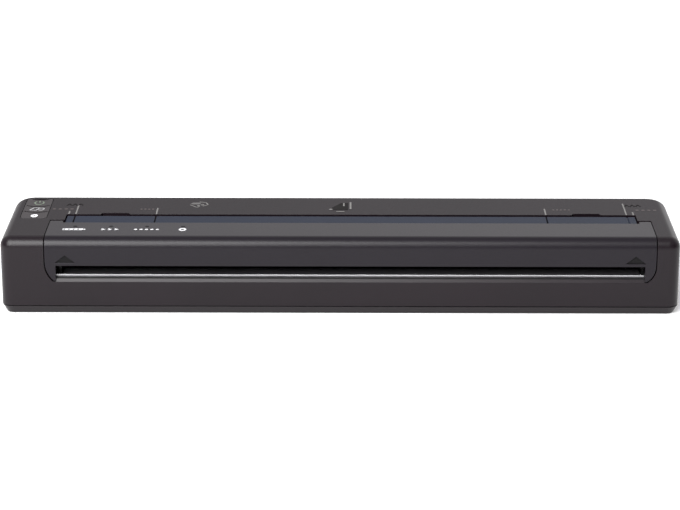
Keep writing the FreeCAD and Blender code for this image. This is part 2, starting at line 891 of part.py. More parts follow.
def cover_screw_places():
    return [paper_centre_x + side * cover_screw_x * share for side in (-1, 1) for share in (1, 1 / 3)]


def cover_arm(x):
    web = block(x, x + frame_sheet, frame_front_y, frame_rear_y, frame_arm_low_z, top_inner_z)
    finger = block(
        x, x + frame_sheet, latch_finger_front_y, latch_finger_rear_y, latch_finger_low_z, top_inner_z)
    rail = block(
        x, x + frame_sheet, latch_finger_front_y, frame_rear_y, latch_finger_root_z, top_inner_z)
    ring = rod_x(x, x + frame_sheet, platen_y, platen_z, bush_flange_radius)
    return web.fuse([finger, rail, ring])


def make_cover_frame():
    plate = block(
        left_arm_x, tongue_right_x, frame_front_y, frame_rear_y, top_inner_z - frame_sheet, top_inner_z)
    holes = [
        rod_z(top_inner_z - frame_sheet - cut_over, top_inner_z + cut_over, x, cover_screw_y, screw_radius)
        for x in cover_screw_places()
    ]
    for x in (left_arm_x, right_arm_x):
        x0 = x - cut_over
        x1 = x + frame_sheet + cut_over
        holes.append(rod_x(x0, x1, hinge_y, hinge_z, hinge_pin_radius + run_gap))
        holes.append(rod_x(x0, x1, platen_y, platen_z, platen_bush_radius))
        holes.append(rod_x(x0, x1, latch_stud_y, latch_stud_z, latch_stud_radius))
    return joined([plate, cover_arm(left_arm_x), cover_arm(right_arm_x)]).cut(holes)


def make_hinge_pins():
    left = rod_x(left_plate_x - hinge_pin_inset, left_arm_x + frame_sheet + hinge_pin_inset, hinge_y, hinge_z,
                 hinge_pin_radius)
    right = rod_x(right_arm_x - hinge_pin_inset, right_plate_x + side_sheet + hinge_pin_inset, hinge_y,
        hinge_z,
                  hinge_pin_radius)
    return grouped([left, right])


def make_latch_studs():
    left = rod_x(left_arm_x + frame_sheet - latch_stud_length - frame_sheet, left_arm_x + frame_sheet,
                 latch_stud_y, latch_stud_z, latch_stud_radius)
    right = rod_x(right_arm_x, right_arm_x + latch_stud_length + frame_sheet, latch_stud_y, latch_stud_z,
                  latch_stud_radius)
    return grouped([left, right])


def make_indicator_board():
    return block(
        indicator_first_x - indicator_board_end, indicator_last_x + indicator_board_end,
        indicator_board_front_y,
        frame_front_y - slide_gap, indicator_board_z, indicator_board_z + indicator_board_thickness)


def make_indicator_light_pipes():
    pipes = []
    for i in range(indicator_count):
        x = indicator_first_x + indicator_pitch * i
        stem = rod_z(indicator_board_z + indicator_board_thickness, body_height, x, indicator_y,
            indicator_radius)
        collar = rod_z(indicator_board_z + indicator_board_thickness, top_inner_z, x, indicator_y,
                       indicator_radius * 1.8)
        pipes.append(joined([stem, collar]))
    return grouped(pipes)


def make_cover_screws():
    screws = []
    for x in cover_screw_places():
        low = top_inner_z - frame_sheet
        head = rod_z(low - screw_head_height / 2, low, x, cover_screw_y, screw_head_radius)
        shank = rod_z(low, top_inner_z + cover_screw_length / 2, x, cover_screw_y, screw_radius)
        screws.append(joined([head, shank]))
    return grouped(screws)


# Platen roller

def gear_outline(teeth, phase):
    # Points of an involute spur gear, as (y, z) about its own centre, with a tooth at the angle phase.
    pitch_radius = gear_module * teeth / 2
    base_radius = pitch_radius * math.cos(pressure_angle)
    tip_radius = pitch_radius + gear_module
    root_radius = pitch_radius - gear_module * (1 + gear_root_extra)
    involute = math.tan(pressure_angle) - pressure_angle
    half_tooth = math.pi / (2 * teeth) - gear_backlash / (2 * pitch_radius)
    flank = []
    for share in (0, 1 / 3, 2 / 3, 1):
        start = max(base_radius, root_radius)
        radius = start + (tip_radius - start) * share
        spin = math.acos(min(1.0, base_radius / radius))
        flank.append((radius, half_tooth + involute - (math.tan(spin) - spin)))
    points = []
    for i in range(teeth):
        centre = phase + 2 * math.pi * i / teeth
        rising = [(root_radius, -flank[0][1])] + [(r, -a) for r, a in flank]
        falling = [(r, a) for r, a in reversed(flank)] + [(root_radius, flank[0][1])]
        for radius, angle in rising + falling:
            points.append((radius * math.cos(centre + angle), radius * math.sin(centre + angle)))
    clean = [points[0]]
    for point in points[1:]:
        if math.dist(point, clean[-1]) > gear_backlash / 10:
            clean.append(point)
    return clean


def gear_x(teeth, phase, y, z, x0, x1):
    return prism_x([(y + dy, z + dz) for dy, dz in gear_outline(teeth, phase)], x0, x1)


def make_platen_shaft():
    return rod_x(platen_gear_left_x, right_plate_x, platen_y, platen_z, platen_shaft_radius)


def make_platen_rubber():
    tube = rod_x(rubber_left_x, rubber_right_x, platen_y, platen_z, platen_radius)
    return tube.cut(rod_x(
        rubber_left_x - cut_over, rubber_right_x + cut_over, platen_y, platen_z, platen_shaft_radius))


def make_platen_gear():
    phase = mesh_angle + math.pi / platen_teeth
    gear = gear_x(platen_teeth, phase, platen_y, platen_z, platen_gear_left_x, platen_gear_right_x)
    return gear.cut(rod_x(
        platen_gear_left_x - cut_over, platen_gear_right_x + cut_over, platen_y, platen_z,
        platen_shaft_radius))


def make_platen_bushes():
    left = rod_x(left_plate_x, left_arm_x + frame_sheet, platen_y, platen_z, platen_bush_radius)
    left_flange = rod_x(left_arm_x + frame_sheet, left_arm_x + frame_sheet + bush_flange, platen_y, platen_z,
                        bush_flange_radius)
    right = rod_x(right_arm_x, right_plate_x + side_sheet, platen_y, platen_z, platen_bush_radius)
    right_flange = rod_x(right_arm_x - bush_flange, right_arm_x, platen_y, platen_z, bush_flange_radius)
    bore = rod_x(left_plate_x - cut_over, right_plate_x + side_sheet + cut_over, platen_y, platen_z,
                 platen_shaft_radius + run_gap)
    return grouped([joined([left, left_flange]).cut(bore), joined([right, right_flange]).cut(bore)])


# Chassis

def swing_slot(half, reach, x0, x1):
    # A slot for the cover's stud, round at its foot, that runs up along the stud's swing about the hinge.
    rise = math.hypot(latch_stud_y - hinge_y, latch_stud_z - hinge_z)
    lean_y = (latch_stud_z - hinge_z) / rise
    lean_z = (hinge_y - latch_stud_y) / rise
    run = prism_x([
        (latch_stud_y - half * lean_z, latch_stud_z + half * lean_y),
        (latch_stud_y + half * lean_z, latch_stud_z - half * lean_y),
        (latch_stud_y + half * lean_z + reach * lean_y, latch_stud_z - half * lean_y + reach * lean_z),
        (latch_stud_y - half * lean_z + reach * lean_y, latch_stud_z + half * lean_y + reach * lean_z),
    ], x0, x1)
    return [run, rod_x(x0, x1, latch_stud_y, latch_stud_z, half)]


def side_plate(x):
    outline = [
        (plate_front_y, plate_foot_z),
        (plate_rear_y, plate_foot_z),
        (plate_rear_y, hinge_post_shoulder_z),
        (hinge_post_rear_y, hinge_post_shoulder_z),
        (hinge_post_rear_y, top_inner_z - run_gap),
        (plate_pocket_rear_y, top_inner_z - run_gap),
        (plate_pocket_rear_y, plate_seat_z),
        (plate_pocket_front_y, plate_seat_z),
        (plate_pocket_front_y, plate_latch_z),
        (plate_front_y, plate_latch_z),
    ]
    plate = prism_x(outline, x, x + side_sheet)
    x0 = x - cut_over
    x1 = x + side_sheet + cut_over
    slot = swing_slot(plate_latch_slot / 2, plate_latch_z - latch_stud_z + cut_over, x0, x1)
    return plate.cut(slot + [
        rod_x(x0, x1, platen_y, platen_z, seat_radius),
        rod_x(x0, x1, hinge_y, hinge_z, hinge_pin_radius),
        rod_x(x0, x1, head_rod_y, head_rod_z, head_rod_radius),
        rod_x(
            x0, x1, (chassis_front_y + chassis_rear_y) / 2, (plate_foot_z + chassis_plate_z) / 2,
            screw_radius),
    ])


def make_left_side_plate():
    return side_plate(left_plate_x).cut(rod_x(
        left_plate_x - cut_over, left_plate_x + side_sheet + cut_over, reduction_y, reduction_z,
        reduction_post_radius)).removeSplitter()


def make_right_side_plate():
    return side_plate(right_plate_x).removeSplitter()


def make_chassis_plate():
    plate = block(
        left_plate_x + side_sheet, right_plate_x, chassis_front_y, chassis_rear_y, chassis_plate_z,
        chassis_top_z)
    middle = (chassis_front_y + chassis_rear_y) / 2
    margin = chassis_hole_radius * 3
    holes = [
        rod_z(chassis_plate_z - cut_over, chassis_top_z + cut_over, x, middle, chassis_hole_radius)
        for x in spread(left_plate_x + margin, right_plate_x - margin, chassis_hole_count)
        if all(abs(x - s) > chassis_hole_radius + spring_radius for s in spring_places())
    ]
    tab = chassis_sheet * 4
    tabs = []
    for x0 in (left_plate_x + side_sheet, right_plate_x - chassis_sheet):
        tabs.append(block(x0, x0 + chassis_sheet, middle - tab, middle + tab, plate_foot_z, chassis_plate_z))
    solid = joined([plate.cut(holes)] + tabs) if holes else joined([plate] + tabs)
    screw_z = (plate_foot_z + chassis_plate_z) / 2
    for x0 in (left_plate_x, right_plate_x - chassis_sheet):
        solid = solid.cut(rod_x(x0 - cut_over, x0 + chassis_sheet * 3, middle, screw_z, screw_radius))
    return solid.removeSplitter()


def make_chassis_screws():
    middle = (chassis_front_y + chassis_rear_y) / 2
    screw_z = (plate_foot_z + chassis_plate_z) / 2
    left = left_plate_x + side_sheet + chassis_sheet
    right = right_plate_x - chassis_sheet
    head_radius = screw_head_radius * 0.75
    left_screw = joined([
        rod_x(left_plate_x, left, middle, screw_z, screw_radius),
        rod_x(left, left + screw_head_height, middle, screw_z, head_radius),
    ])
    right_screw = joined([
        rod_x(right, right_plate_x + side_sheet, middle, screw_z, screw_radius),
        rod_x(right - screw_head_height, right, middle, screw_z, head_radius),
    ])
    return grouped([left_screw, right_screw])


def latch_clip(x):
    # A thin steel clip on the side plate, open upwards round the cover's stud.
    clip = block(
        x, x + latch_clip_sheet, latch_stud_y - latch_clip_height, latch_stud_y + latch_clip_height,
        latch_stud_z - latch_clip_depth, latch_stud_z + latch_clip_height)
    return clip.cut(swing_slot(
        latch_stud_radius + slide_gap / 2, latch_clip_height + cut_over, x - cut_over,
        x + latch_clip_sheet + cut_over))


def make_latch_clips():
    return grouped([latch_clip(left_plate_x - latch_clip_sheet), latch_clip(right_plate_x + side_sheet)])


# Print head

def head_lug_places():
    half = (heatsink_right_x - heatsink_left_x) / 2 * head_lug_share
    middle = (heatsink_right_x + heatsink_left_x) / 2
    return spread(middle - half, middle + half, head_lug_count)


def spring_places():
    half = (heatsink_right_x - heatsink_left_x) / 2 * spring_share
    middle = (heatsink_right_x + heatsink_left_x) / 2
    return spread(middle - half, middle + half, spring_count)


def make_heatsink():
    bar = block(heatsink_left_x, heatsink_right_x, head_front_y, head_rear_y, head_bottom_z, heatsink_top_z)
    pitch = (head_rear_y - head_front_y) / (fin_count + 1)
    for i in range(fin_count):
        y = head_front_y + pitch * (i + 1)
        bar = bar.cut(block(
            heatsink_left_x - cut_over, heatsink_right_x + cut_over, y - fin_width / 2, y + fin_width / 2,
            head_bottom_z - cut_over, head_bottom_z + fin_depth))
    parts = [bar]
    for x in head_lug_places():
        x0 = x - head_lug_width / 2
        x1 = x + head_lug_width / 2
        parts.append(rod_x(x0, x1, head_rod_y, head_rod_z, head_lug_radius))
        parts.append(block(
            x0, x1, head_rear_y - cut_over, head_rod_y, head_rod_z - head_lug_radius / 2,
            head_rod_z + head_lug_radius))
    lugged = joined(parts)
    return lugged.cut(rod_x(
        heatsink_left_x - cut_over, heatsink_right_x + cut_over, head_rod_y, head_rod_z,
        head_rod_radius + run_gap)).removeSplitter()


def make_heater_board():
    return block(
        heatsink_left_x + heater_inset, heatsink_right_x - heater_inset, head_front_y + heater_inset,
        head_rear_y - heater_inset, heatsink_top_z, heater_top_z)


def make_head_pivot_rod():
    return rod_x(left_plate_x, right_plate_x + side_sheet, head_rod_y, head_rod_z, head_rod_radius)


def make_head_springs():
    # Springs that push the head up against the roller, each with its turns closed up to a ribbed tube.
    pitch = (head_bottom_z - chassis_top_z) / spring_turns
    springs = []
    for x in spring_places():
        outside = []
        for turn in range(spring_turns):
            low = chassis_top_z + pitch * turn
            outside += [(spring_radius - spring_wire, low), (spring_radius, low + pitch / 2)]
        outside.append((spring_radius - spring_wire, head_bottom_z))
        inside = [(radius - spring_wire * 2, z) for radius, z in reversed(outside)]
        corners = [Vector(x + radius, spring_y, z) for radius, z in outside + inside + outside[:1]]
        section = Part.Face(Part.makePolygon(corners))
        springs.append(section.revolve(Vector(x, spring_y, 0), Z_AXIS, 360))
    return grouped(springs)


def make_head_cable():
    # Flat cable from the front edge of the heatsink's underside down into the socket on the main board.
    t = cable_thickness
    back = head_front_y + cable_landing
    low = board_top_z + cable_socket_floor + cable_free_end
    high = head_bottom_z
    bend = t * 3
    return prism_x([
        (cable_front_y, low),
        (cable_front_y + t, low),
        (cable_front_y + t, high - t - bend),
        (cable_front_y + t + bend, high - t),
        (back, high - t),
        (back, high),
        (cable_front_y + bend, high),
        (cable_front_y, high - bend),
    ], paper_centre_x - cable_width / 2, paper_centre_x + cable_width / 2)


def make_cable_socket():
    x0 = paper_centre_x - cable_width / 2 - cable_socket_wall
    x1 = paper_centre_x + cable_width / 2 + cable_socket_wall
    front = cable_front_y - cable_socket_gap - cable_socket_wall
    rear = cable_front_y + cable_thickness + cable_socket_gap + cable_socket_wall
    body = block(x0, x1, front, rear, board_top_z, board_top_z + cable_socket_height)
    return body.cut(block(
        x0 + cable_socket_wall / 2, x1 - cable_socket_wall / 2, front + cable_socket_wall,
        rear - cable_socket_wall,
        board_top_z + cable_socket_floor, board_top_z + cable_socket_height + cut_over))


# Paper path

def make_rear_paper_guide():
    # The wall behind the feed slot, which bends forward to lead the sheet to the print line.
    x0 = left_plate_x + side_sheet + slide_gap
    x1 = right_plate_x - slide_gap
    y0 = housing_edge_y

    def path(offset_y, offset_z, x):
        top = Vector(x, y0 + offset_y, top_inner_z)
        bend = Vector(x, y0 + offset_y, guide_bend_z)
        mid = Vector(x, guide_mid_y + offset_y, guide_mid_z - offset_z)
        end = Vector(x, guide_end_y + offset_y, guide_end_z - offset_z)
        return top, bend, mid, end

    front = path(0, 0, x0)
    rear = path(guide_sheet, guide_sheet, x0)
    edges = [
        Part.LineSegment(front[0], front[1]).toShape(),
        Part.Arc(front[1], front[2], front[3]).toShape(),
        Part.LineSegment(front[3], rear[3]).toShape(),
        Part.Arc(rear[3], rear[2], rear[1]).toShape(),
        Part.LineSegment(rear[1], rear[0]).toShape(),
        Part.LineSegment(rear[0], front[0]).toShape(),
    ]
    wall_solid = Part.Face(Part.Wire(edges)).extrude(Vector(x1 - x0, 0, 0))
    window = block(
        sensor_x - lever_window_width / 2, sensor_x + lever_window_width / 2, guide_end_y - cut_over,
        y0 + guide_sheet + cut_over, lever_window_low_z, lever_window_high_z)
    ears = []
    for side in (-1, 1):
        inner = sensor_x + side * (lever_width / 2 + lever_ear_gap)
        outer = inner + side * lever_ear_width
        low_x = min(inner, outer)
        high_x = max(inner, outer)
        ear = rod_x(low_x, high_x, lever_y, lever_z, lever_ear_radius)
        stalk = block(low_x, high_x, lever_y - lever_ear_radius, lever_y + lever_ear_radius * 0.7, lever_z,
                      guide_bend_z)
        ears += [ear, stalk]
    posts = []
    for x in (x0, x1 - exit_rib_width):
        posts.append(block(
            x, x + exit_rib_width, y0 + guide_sheet / 2, plate_rear_y, hinge_post_shoulder_z, guide_bend_z))
    solid = joined([wall_solid.cut(window)] + ears + posts)
    stub_hole = rod_x(
        sensor_x - lever_width * 4, sensor_x + lever_width * 4, lever_y, lever_z, lever_stub_radius + run_gap)
    return solid.cut(stub_hole).removeSplitter()


def make_exit_guide():
    z0 = exit_guide_top_z - exit_guide_sheet
    x0 = left_plate_x + side_sheet + slide_gap
    x1 = right_plate_x - slide_gap
    plate = block(x0, x1, front_inner_y, exit_guide_rear_y, z0, exit_guide_top_z)
    ribs = [
        block(x - exit_rib_width / 2, x + exit_rib_width / 2, front_inner_y, exit_guide_rear_y,
            z0 - exit_rib_depth,
              z0)
        for x in spread(x0 + exit_rib_width, x1 - exit_rib_width, exit_rib_count)
    ]
    return joined([plate] + ribs)


def make_tear_bar():
    # Steel blade across the eject slot, bent from a strip that lies on the exit guide.
    foot = block(
        left_plate_x + side_sheet + slide_gap, right_plate_x - slide_gap, tear_bar_y,
        tear_bar_y + tear_bar_foot,
        tear_bar_low_z, tear_bar_low_z + tear_bar_foot_sheet)
    blade = prism_x([
        (tear_bar_y, tear_bar_low_z),
        (tear_bar_y + tear_bar_sheet, tear_bar_low_z),
        (tear_bar_y + tear_bar_sheet, tear_bar_low_z + tear_bar_height),
        (tear_bar_y + tear_bar_sheet / 2, tear_bar_low_z + tear_bar_height),
        (tear_bar_y, tear_bar_low_z + tear_bar_height - tear_bar_sheet / 2),
    ], slot_left_x, slot_right_x)
    return joined([foot, blade])


def make_paper_sensor_lever():
    x0 = sensor_x - lever_width / 2
    x1 = sensor_x + lever_width / 2
    hub = rod_x(x0, x1, lever_y, lever_z, lever_hub_radius)
    stub = rod_x(x0 - lever_ear_gap - lever_ear_width, x1 + lever_ear_gap + lever_ear_width, lever_y, lever_z,
                 lever_stub_radius)
    finger = prism_x([
        (lever_y - lever_arm / 2, lever_z),
        (lever_y + lever_arm / 2, lever_z),
        (lever_tip_y + lever_arm, lever_tip_z),
        (lever_tip_y, lever_tip_z - lever_arm / 2),
    ], x0, x1)
    flag = block(x0, x1, lever_y - lever_arm / 2, lever_y + lever_arm / 2, lever_flag_low_z, lever_z)
    return joined([hub, stub, finger, flag])


def make_paper_sensor():
    y1 = sensor_front_y + sensor_depth
    body = block(
        sensor_x - sensor_width / 2, sensor_x + sensor_width / 2, sensor_front_y, y1, board_top_z,
        board_top_z + sensor_height)
    return body.cut(block(
        sensor_x - sensor_slot / 2, sensor_x + sensor_slot / 2, sensor_front_y - cut_over, y1 + cut_over,
        board_top_z + sensor_bridge, board_top_z + sensor_height + cut_over))


# Drive

def make_reduction_gear():
    small = gear_x(
        reduction_small_teeth, mesh_angle + math.pi, reduction_y, reduction_z, large_gear_right_x,
        platen_gear_right_x)
    large_phase = motor_mesh_angle
    large = gear_x(reduction_large_teeth, large_phase, reduction_y, reduction_z, large_gear_left_x,
        large_gear_right_x)
    bore = rod_x(
        large_gear_left_x - cut_over, platen_gear_right_x + cut_over, reduction_y, reduction_z,
        reduction_post_radius + run_gap)
    return joined([small, large]).cut(bore)


def make_reduction_post():
    return rod_x(bracket_left_x, left_plate_x + side_sheet, reduction_y, reduction_z, reduction_post_radius)


def make_motor_pinion():
    phase = motor_mesh_angle + math.pi + math.pi / motor_teeth
    right = large_gear_right_x + gear_side_gap
    left = large_gear_left_x - gear_side_gap / 2
    gear = gear_x(motor_teeth, phase, motor_y, motor_z, left, right)
    return gear.cut(rod_x(left - cut_over, right + cut_over, motor_y, motor_z, motor_shaft_radius))


def make_motor_shaft():
    return rod_x(
        bracket_left_x - motor_length + motor_rear_cap, large_gear_right_x + gear_side_gap, motor_y, motor_z,
        motor_shaft_radius)


def make_motor_can():
    left = bracket_left_x - motor_length
    can = rod_x(left, bracket_left_x, motor_y, motor_z, motor_radius)
    step = rod_x(left, left + motor_rear_cap, motor_y, motor_z, motor_radius)
    step = step.cut(rod_x(left - cut_over, left + motor_rear_cap, motor_y, motor_z, motor_radius * 0.9))
    boss = rod_x(bracket_left_x, bracket_left_x + motor_boss_height, motor_y, motor_z, motor_boss_radius)
    hollow = rod_x(
        left + motor_rear_cap, bracket_left_x + motor_boss_height + cut_over, motor_y, motor_z,
        motor_shaft_radius + run_gap)
    can = joined([can.cut(step), boss]).cut(hollow)
    for side in (-1, 1):
        can = can.cut(rod_x(
            bracket_left_x - bracket_sheet * 2, bracket_left_x + cut_over, motor_y,
            motor_z + side * motor_screw_pitch, screw_radius))
    return can.removeSplitter()


def make_motor_bracket():
    plate = block(bracket_left_x, bracket_right_x, bracket_front_y, bracket_rear_y, floor_z, keypad_board_z)
    foot = block(
        bracket_left_x - bracket_foot_length, bracket_right_x, bracket_front_y,
        bracket_front_y + bracket_foot_length,
        floor_z, floor_z + bracket_sheet)
    cuts = [
        rod_x(bracket_left_x - cut_over, bracket_right_x + cut_over, motor_y, motor_z, motor_boss_radius),
        rod_x(bracket_left_x - cut_over, bracket_right_x + cut_over, reduction_y, reduction_z,
              reduction_post_radius),
    ]
    for side in (-1, 1):
        cuts.append(rod_x(
            bracket_left_x - cut_over, bracket_right_x + cut_over, motor_y,
            motor_z + side * motor_screw_pitch,
            screw_radius))
    return joined([plate, foot]).cut(cuts).removeSplitter()


def make_motor_screws():
    screws = []
    for side in (-1, 1):
        z = motor_z + side * motor_screw_pitch
        shank = rod_x(bracket_left_x - bracket_sheet * 2, bracket_right_x, motor_y, z, screw_radius)
        head = rod_x(bracket_right_x, bracket_right_x + screw_head_height / 2, motor_y, z, screw_head_radius)
        screws.append(joined([shank, head]))
    return grouped(screws)


# Keys

def key_cell(index, grow):
    # The plan of one key between two curved joints, in front of and behind it.
    y0 = key_panel_front_y + key_pitch * index
    y1 = y0 + key_pitch
    x0 = key_panel_left_x + key_gap - grow
    x1 = key_panel_right_x - key_gap + grow
    bulge_front = key_bulge if index > 0 else 0
    bulge_rear = key_bulge if index < key_count - 1 else 0
    front = y0 + key_gap / 2 - grow
    rear = y1 - key_gap / 2 + grow
    if index == 0:
        front = y0 + key_gap - grow
    if index == key_count - 1:
        rear = y1 - key_gap + grow
    middle = (x0 + x1) / 2
    z = body_height - key_height

    def across(xa, xb, y, bulge):
        if bulge == 0:
            return Part.LineSegment(Vector(xa, y, z), Vector(xb, y, z)).toShape()
        return Part.Arc(Vector(xa, y, z), Vector(middle, y - bulge, z), Vector(xb, y, z)).toShape()

    edges = [
        across(x0, x1, front, bulge_front),
        Part.LineSegment(Vector(x1, front, z), Vector(x1, rear, z)).toShape(),
        across(x1, x0, rear, bulge_rear),
        Part.LineSegment(Vector(x0, rear, z), Vector(x0, front, z)).toShape(),
    ]
    return Part.Face(Part.Wire(edges)).extrude(Vector(0, 0, key_height))


def make_key(index):
    centre_x = (key_panel_left_x + key_panel_right_x) / 2
    centre_y = key_panel_front_y + key_pitch * (index + 0.5)
    cap = key_cell(index, 0).common(key_opening(-key_gap, 0, body_height))
    dish = rod_y(
        centre_y - key_pitch, centre_y + key_pitch, centre_x, body_height - key_dish_depth + key_dish_radius,
        key_dish_radius)
    cap = cap.cut(dish)
    low = body_height - key_height
    flange_top = top_inner_z - key_flange_drop
    flange = block(
        key_panel_left_x - key_flange_reach, key_panel_right_x + key_flange_reach,
        centre_y - key_pitch / 2 + key_bulge + key_gap, centre_y + key_pitch / 2 - key_bulge - key_gap,
        flange_top - key_flange, flange_top)
    stem = rod_z(low - key_stem_length, low, centre_x, centre_y, key_stem_radius)
    return joined([cap, flange, stem])


def make_keypad_board():
    return block(
        keypad_board_left_x, keypad_board_right_x, key_panel_front_y, key_panel_rear_y, keypad_board_z,
        keypad_board_top_z)


def make_key_switches():
    centre_x = (key_panel_left_x + key_panel_right_x) / 2
    switches = []
    top = keypad_board_top_z + switch_height
    for index in range(key_count):
        y = key_panel_front_y + key_pitch * (index + 0.5)
        body = block(
            centre_x - switch_size / 2, centre_x + switch_size / 2, y - switch_size / 2, y + switch_size / 2,
            keypad_board_top_z, top)
        switches.append(body.cut(rod_z(top - switch_well_depth, top + cut_over, centre_x, y,
            switch_well_radius)))
    return grouped(switches)


# Boards and connectors

def board_screw_places():
    xs = (main_board_left_x + board_screw_inset, main_board_right_x - board_screw_inset)
    ys = (main_board_front_y + board_screw_inset, main_board_rear_y - board_screw_inset)
    return [(x, y) for x in xs for y in ys]


def make_main_board():
    board = block(main_board_left_x, main_board_right_x, main_board_front_y, main_board_rear_y, board_z,
        board_top_z)
    return board.cut([
        rod_z(board_z - cut_over, board_top_z + cut_over, x, y, screw_radius) for x, y in board_screw_places()
    ])


def make_board_components():
    # Packages in a row along the middle of the main board: the place and the two sides of each, as shares.
    chip_place_shares = (0.1, 0.22, 0.34, 0.6, 0.72, 0.86)
    chip_side_shares = (0.5, 0.3, 0.42, 0.34, 0.5, 0.28)
    depth = main_board_rear_y - main_board_front_y
    chips = []
    for place, side in zip(chip_place_shares, chip_side_shares):
        x = main_board_left_x + (main_board_right_x - main_board_left_x) * place
        y = (main_board_front_y + main_board_rear_y) / 2
        half = depth * side / 2
        chips.append(block(x - half, x + half, y - half, y + half, board_top_z, board_top_z + chip_height))
    return grouped(chips)


def make_board_screws():
    screws = []
    for x, y in board_screw_places():
        shank = rod_z(floor_z, board_top_z, x, y, screw_radius)
        head = rod_z(board_top_z, board_top_z + screw_head_height, x, y, screw_head_radius)
        screws.append(joined([shank, head]))
    return grouped(screws)


def make_interface_board():
    return block(
        interface_left_x, interface_right_x, interface_front_y, interface_rear_y, interface_z,
        interface_top_z)


def make_usb_socket():
    right = half_width - port_recess
    left = right - usb_depth
    outer = block(left, right, usb_y - usb_width / 2, usb_y + usb_width / 2, interface_top_z,
                  interface_top_z + usb_height)
    long_edges = [e for e in outer.Edges if abs(e.tangentAt(e.FirstParameter).x) > 0.9]
    outer = outer.makeFillet(usb_height * 0.45, long_edges)
    inner = block(
        left + usb_shell * 3, right + cut_over, usb_y - usb_width / 2 + usb_shell,
        usb_y + usb_width / 2 - usb_shell,
        interface_top_z + usb_shell, interface_top_z + usb_height - usb_shell)
    long_edges = [e for e in inner.Edges if abs(e.tangentAt(e.FirstParameter).x) > 0.9]
    inner = inner.makeFillet(usb_height * 0.35, long_edges)
    tongue = block(
        left + usb_shell, right - usb_shell * 3, usb_y - usb_width / 2 + usb_shell * 4,
        usb_y + usb_width / 2 - usb_shell * 4, usb_axis_z - usb_tongue / 2, usb_axis_z + usb_tongue / 2)
    return joined([outer.cut(inner), tongue])


def make_power_jack():
    right = half_width - port_recess
    body = block(
        right - jack_depth, right, jack_y - jack_width / 2, jack_y + jack_width / 2, interface_top_z,
        interface_top_z + jack_height)
    body = body.cut(block(
        interface_right_x, right + cut_over, jack_y - jack_width, jack_y + jack_width, 0, body_height))
    nose = rod_x(interface_right_x - cut_over, right, jack_y, jack_axis_z,
        jack_bore_radius + port_margin - run_gap)
    bore = rod_x(right - jack_bore_depth, right + cut_over, jack_y, jack_axis_z, jack_bore_radius)
    pin_seat = rod_x(right - jack_depth - cut_over, right, jack_y, jack_axis_z, jack_pin_radius)
    return joined([body, nose]).cut([bore, pin_seat]).removeSplitter()


def make_power_jack_pin():
    right = half_width - port_recess
    return rod_x(right - jack_depth, right - jack_pin_short, jack_y, jack_axis_z, jack_pin_radius)


# Battery

def battery_block(inset):
    y0 = battery_front_y + inset
    y1 = battery_front_y + battery_depth - inset
    solid = block(battery_left_x + inset, battery_right_x - inset, y0, y1, battery_z + inset,
                  battery_z + battery_height - inset)
    long_edges = [e for e in solid.Edges if abs(e.tangentAt(e.FirstParameter).x) > 0.9]
    return solid.makeFillet(battery_corner - inset, long_edges)


def make_battery_case():
    return battery_block(0).cut(battery_block(battery_wall))


def make_battery_cells():
    cells = []
    y = battery_front_y + battery_depth / 2
    z = battery_z + battery_height / 2
    radius = cell_radius - run_gap
    for i in range(cell_count):
        x = battery_left_x + battery_wall + cell_gap + (cell_length + cell_gap) * i
        can = rod_x(x, x + cell_length - cell_gap * 2, y, z, radius)
        cap = rod_x(x + cell_length - cell_gap * 2, x + cell_length, y, z, radius / 3)
        cells.append(joined([can, cap]))
    return grouped(cells)


def terminal_places():
    middle = battery_front_y + terminal_block_depth / 2
    half = terminal_pitch * (terminal_count - 1) / 2
    return spread(middle - half, middle + half, terminal_count)


def make_terminal_block():
    x0 = battery_right_x + terminal_sheet
    block_solid = block(
        x0 + terminal_sheet, x0 + terminal_block_length, battery_front_y,
        battery_front_y + terminal_block_depth,
        battery_z, battery_z + terminal_height)
    return block_solid


def make_battery_terminals():
    x0 = battery_right_x + terminal_sheet
    blades = []
    for y in terminal_places():
        blades.append(block(
            x0, x0 + terminal_sheet, y - terminal_width / 2, y + terminal_width / 2, battery_z,
            battery_z + terminal_height))
    return grouped(blades)


def make_battery_door():
    x0 = door_left_x + slide_gap
    x1 = door_right_x - slide_gap
    z0 = door_low_z + slide_gap
    z1 = door_top_z - slide_gap
    panel = block(x0, x1, half_depth - door_sheet, half_depth, z0, z1)
    middle = (x0 + x1) / 2
    grips = []
    for i in range(door_grip_count):
        z = z1 - door_grip_pitch * (i + 1)
        grips.append(block(
            middle - door_grip_width / 2, middle + door_grip_width / 2, half_depth - door_grip_depth,
            half_depth + cut_over, z - door_grip_pitch / 4, z + door_grip_pitch / 4))
    hooks = []
    for x in (x0 + door_hook_width, middle, x1 - door_hook_width):
        hooks.append(block(
            x - door_hook_width / 2, x + door_hook_width / 2, half_depth - door_sheet - door_hook_sheet,
            half_depth - door_sheet, z0, z0 + door_hook_reach))
    return joined([panel.cut(grips)] + hooks)


def make_housing_screws():
    screws = []
    for x, y in housing_screw_places():
        head_top = foot_stand + screw_head_height
        head = rod_z(foot_stand, head_top, x, y, screw_head_radius)
        shank = rod_z(head_top, foot_stand + housing_screw_length, x, y, screw_radius)
        screws.append(joined([head, shank]))
    return grouped(screws)


